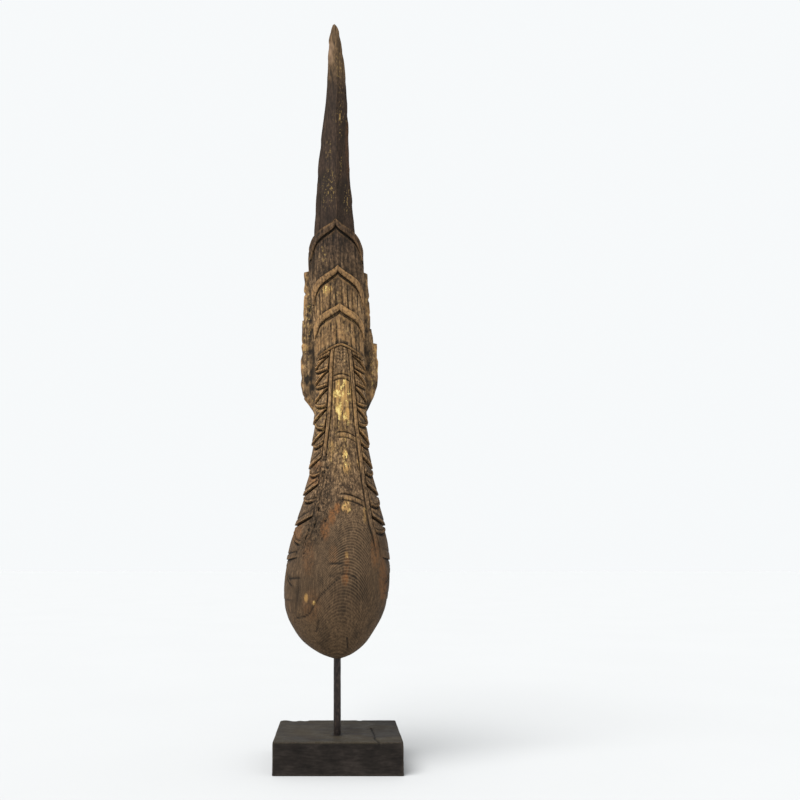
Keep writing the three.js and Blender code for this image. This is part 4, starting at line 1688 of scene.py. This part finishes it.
@dataclass
class SupportRod:
    """The round steel bar, slightly dented, that stands in the block and holds the carving."""

    finish: DarkSteel
    axis: tuple[float, float] = (-1.0, -27.0)
    radius: float = 4.7
    bottom: float = 15.0
    top: float = 164.5
    sides: int = 40
    rings: int = 70
    chamfer: float = 0.6
    chamfer_steps: int = 2
    dent: float = 0.12
    dents: Unevenness = Unevenness((4, 4, 9), 51)
    sharp_angle: float = 40.0

    def build(self) -> bpy.types.Object:
        """Makes the bar.

        Returns:
            The piece.
        """
        bm = bmesh.new()
        middle = Matrix.Translation((*self.axis, (self.bottom + self.top) / 2))
        bmesh.ops.create_cone(
            bm, cap_ends=True, segments=self.sides, radius1=self.radius, radius2=self.radius,
            depth=self.top - self.bottom, matrix=middle,
        )
        rims = [edge for edge in bm.edges if edge_length(edge, 2) < self.chamfer]
        bmesh.ops.bevel(
            bm, geom=rims, offset=self.chamfer, affect="EDGES", segments=self.chamfer_steps, profile=0.5,
            material=-1,
        )
        long_edges = [edge for edge in bm.edges if edge_length(edge, 2) > (self.top - self.bottom) / 2]
        bmesh.ops.subdivide_edges(bm, edges=long_edges, cuts=self.rings)
        bmesh.ops.scale(bm, vec=(MM, MM, MM), verts=bm.verts)
        mesh = mesh_from(bm, "steel_rod")
        places = read_places(mesh)
        dents = self.dent * np.minimum(self.dents.at(places), 0)
        places[:, :2] += (places[:, :2] - np.array(self.axis)) / self.radius * dents[:, None]
        write_places(mesh, places)
        return link_piece(mesh, self.finish.build(), self.sharp_angle)


@dataclass
class BaseBlock:
    """The black painted wooden block, with worn edges, a crack near its right end and a hole for the rod."""

    finish: BlackPaint
    width: float = 160.0
    depth: float = 140.0
    height: float = 39.0
    spacing: float = 1.5
    rounding: float = 1.4
    hole_axis: tuple[float, float] = (-1.0, -27.0)
    hole_radius: float = 5.0
    hole_bottom: float = 14.7
    crack: tuple[tuple[float, float], ...] = ((43.6, 14.6), (45, -8), (46.6, -35.6), (45.4, -52), (49.9, -70))
    crack_half_width: float = 1.7
    crack_depth: float = 3.0
    crack_on_front: float = 9.0
    crack_front_share: float = 0.6
    crack_shares: Span = (0.75, 0.25)
    crack_breaks: Unevenness = Unevenness((6, 6, 6), 61)
    # Strength and cap of the painted shade along the crack.
    crack_shade_strength: Span = (1.6, 0.95)
    chips: tuple[tuple[float, float, float, float], ...] = (
        (-46, 70, 7, 3.0), (-60, 68, 12, 1.4), (30, 70, 5, 1.2), (-80, 70, 5, 2.0), (80, -70, 4, 1.4),
        (-80, -70, 3, 1.0),
    )
    broad_dents: Unevenness = Unevenness((28, 28, 16), 62)
    small_dents: Unevenness = Unevenness((7, 7, 7), 63)
    small_dent_share: float = 0.5
    dent_depth: float = 0.22
    sound_foot: Span = (0.5, 4.0)
    top_skin: Span = (3.0, 1.0)
    dust_from_rod: Span = (5.5, 11.0)
    rubbed_edge: Span = (-3.2, -0.8)
    corner_steps: int = 3
    hole_sides: int = 40
    sharp_angle: float = 55.0

    def plain_block(self) -> bmesh.types.BMesh:
        """A dense box with rounded edges.

        Returns:
            The bmesh, in mm.
        """
        bm = bmesh.new()
        bmesh.ops.create_cube(bm, size=1)
        bmesh.ops.scale(bm, vec=(self.width, self.depth, self.height), verts=bm.verts)
        bmesh.ops.translate(bm, vec=(0, 0, self.height / 2), verts=bm.verts)
        for axis, size in enumerate((self.width, self.depth, self.height)):
            along = [edge for edge in bm.edges if edge_length(edge, axis) > size / 2]
            bmesh.ops.subdivide_edges(bm, edges=along, cuts=round(size / self.spacing))
        corners = [edge for edge in bm.edges if edge.calc_face_angle() > QUARTER / 2]
        bmesh.ops.bevel(
            bm, geom=corners, offset=self.rounding, affect="EDGES", segments=self.corner_steps, profile=0.5,
            material=-1, clamp_overlap=True,
        )
        return bm

    def crack_line(self, places: Array) -> Array:
        """Depth of the crack, from 0 to 1, across the top and a little way down the front.

        Args:
            places: Points in mm, with three columns.

        Returns:
            One value for each point.
        """
        over = np.stack([places[:, 0], np.zeros(len(places)), places[:, 1]], axis=-1)
        on_top = Stroke(self.crack, self.crack_half_width, 1.0).cut(over)
        fade = notch(self.height - places[:, 2], self.crack_on_front)
        least, swing = self.crack_shares
        return on_top * fade * (least + swing * self.crack_breaks.at(places))

    def top_share(self, places: Array) -> Array:
        """1 on the block's top, falling to 0 a little way under it."""
        low, high = self.top_skin
        return smoothstep(places[:, 2], self.height - low, self.height - high)

    def build(self) -> bpy.types.Object:
        """Makes the block, with its hole, dents, chips and crack.

        Returns:
            The piece.
        """
        bm = self.plain_block()
        bmesh.ops.scale(bm, vec=(MM, MM, MM), verts=bm.verts)
        mesh = mesh_from(bm, "painted_block")
        places = read_places(mesh)
        cracked = self.crack_line(places)
        on_front = places[:, 1] < -self.depth / 2 + self.rounding
        uneven = self.broad_dents.at(places) + self.small_dent_share * self.small_dents.at(places)
        middle = np.array([0, 0, self.height / 2])
        sizes = np.array([self.width, self.depth, self.height]) / 2
        inward = -np.sign(places - middle) * (np.abs(places - middle) > sizes - self.rounding)
        lost = self.dent_depth * (1 + uneven) * smoothstep(places[:, 2], *self.sound_foot)
        for x, y, size, depth in self.chips:
            near = np.linalg.norm(places - np.array([x, y, self.height]), axis=1)
            lost = lost + depth * (1 - smoothstep(near, 0, size))
        on_top = self.top_share(places)
        places = places + inward * lost[:, None]
        places[:, 2] -= self.crack_depth * cracked * on_top
        places[:, 1] += self.crack_front_share * self.crack_depth * cracked * on_front
        write_places(mesh, places)
        mesh = self.drilled(mesh)
        places = read_places(mesh)
        ends = np.sort(np.abs(places - middle) - sizes, axis=1)
        rim = np.linalg.norm(places[:, :2] - np.array(self.hole_axis), axis=1)
        darkness, darkest = self.crack_shade_strength
        write_attributes(mesh, {
            "dust": self.top_share(places) * smoothstep(rim, *self.dust_from_rod),
            "rubbed": smoothstep(ends[:, 1], *self.rubbed_edge),
            # Painted shade along the crack.
            "cracked": np.clip(darkness * self.crack_line(places), 0, darkest),
        })
        return link_piece(mesh, self.finish.build(), self.sharp_angle)

    def drilled(self, mesh: bpy.types.Mesh) -> bpy.types.Mesh:
        """Cuts the rod's hole.

        Args:
            mesh: The block without its hole.

        Returns:
            A new mesh with the hole.
        """
        top = 2 * self.height
        bm = bmesh.new()
        middle = Matrix.Translation(Vector((*self.hole_axis, (self.hole_bottom + top) / 2)) * MM)
        radius = self.hole_radius * MM
        bmesh.ops.create_cone(
            bm, cap_ends=True, segments=self.hole_sides, radius1=radius, radius2=radius,
            depth=(top - self.hole_bottom) * MM, matrix=middle,
        )
        drill = bpy.data.objects.new("drill", mesh_from(bm, "drill"))
        block = bpy.data.objects.new("block", mesh)
        for item in (drill, block):
            bpy.context.scene.collection.objects.link(item)
        cut = block.modifiers.new("hole", "BOOLEAN")
        cut.object = drill
        cut.operation = "DIFFERENCE"
        cut.solver = "EXACT"
        made = bpy.data.meshes.new_from_object(block.evaluated_get(bpy.context.evaluated_depsgraph_get()))
        for item in (drill, block):
            spare = item.data
            bpy.data.objects.remove(item)
            bpy.data.meshes.remove(spare)
        made.name = "painted_block"
        return made


# Studio


@dataclass
class Studio:
    """Camera at the photograph's angle, a pale floor and soft light from above."""

    floor_finish: PaleFloor
    camera_place: tuple[float, float, float] = (0.0, -1.107, 0.251)
    camera_lift: float = 11.59
    lens: float = 36.0
    sensor: float = 36.0
    shift: float = 0.0775
    floor_size: float = 60.0
    floor_cells: int = 4
    sky: Colour = (0.93, 0.95, 0.96)
    sky_strength: float = 1.0
    key_strength: float = 3.6
    key_angle: float = 40.0
    key_from: tuple[float, float, float] = (-0.45, -0.5, 1.0)

    def build(self) -> bpy.types.Object:
        """Makes the camera, lights and floor.

        Returns:
            The floor.
        """
        scene = bpy.context.scene
        scene.view_settings.view_transform = "Standard"
        camera = bpy.data.objects.new("camera", bpy.data.cameras.new("camera"))
        camera.data.lens = self.lens
        camera.data.sensor_width = self.sensor
        camera.data.shift_x = self.shift
        camera.location = self.camera_place
        camera.rotation_euler = (QUARTER + math.radians(self.camera_lift), 0, 0)
        key = bpy.data.objects.new("key_light", bpy.data.lights.new("key_light", "SUN"))
        key.data.energy = self.key_strength
        key.data.angle = math.radians(self.key_angle)
        key.rotation_euler = Vector(self.key_from).to_track_quat("Z", "Y").to_euler()
        world = bpy.data.worlds.new("pale_room")
        world.use_nodes = True
        background = world.node_tree.nodes["Background"]
        background.inputs["Color"].default_value = (*self.sky, 1.0)
        background.inputs["Strength"].default_value = self.sky_strength
        scene.world = world
        bm = bmesh.new()
        cells = self.floor_cells
        bmesh.ops.create_grid(bm, x_segments=cells, y_segments=cells, size=self.floor_size / 2)
        floor = bpy.data.objects.new("floor", mesh_from(bm, "floor"))
        floor.data.materials.append(self.floor_finish.build())
        for item in (camera, key, floor):
            scene.collection.objects.link(item)
        scene.camera = camera
        return floor


def main() -> None:
    """Builds the carving, rod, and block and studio."""
    logging.basicConfig(level=logging.INFO, format="%(name)s: %(message)s")
    finial = CarvedFinial(CarvedForm(), Carving(), Hood(), WeatheredTimber())
    pieces = (
        (finial, "carved_finial", "weathered_timber"),
        (SupportRod(DarkSteel()), "support_rod", "dark_steel"),
        (BaseBlock(BlackPaint()), "base_block", "black_painted_wood"),
    )
    for maker, node, slot in pieces:
        piece = maker.build()
        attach(piece, BODY)
        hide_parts(node)
        piece.data.calc_loop_triangles()
        LOG.info("%s stands for %s with %d triangles", piece.name, node, len(piece.data.loop_triangles))
    floor = Studio(PaleFloor()).build()
    LOG.info("%s laid", floor.name)


if __name__ == "__main__":
    main()
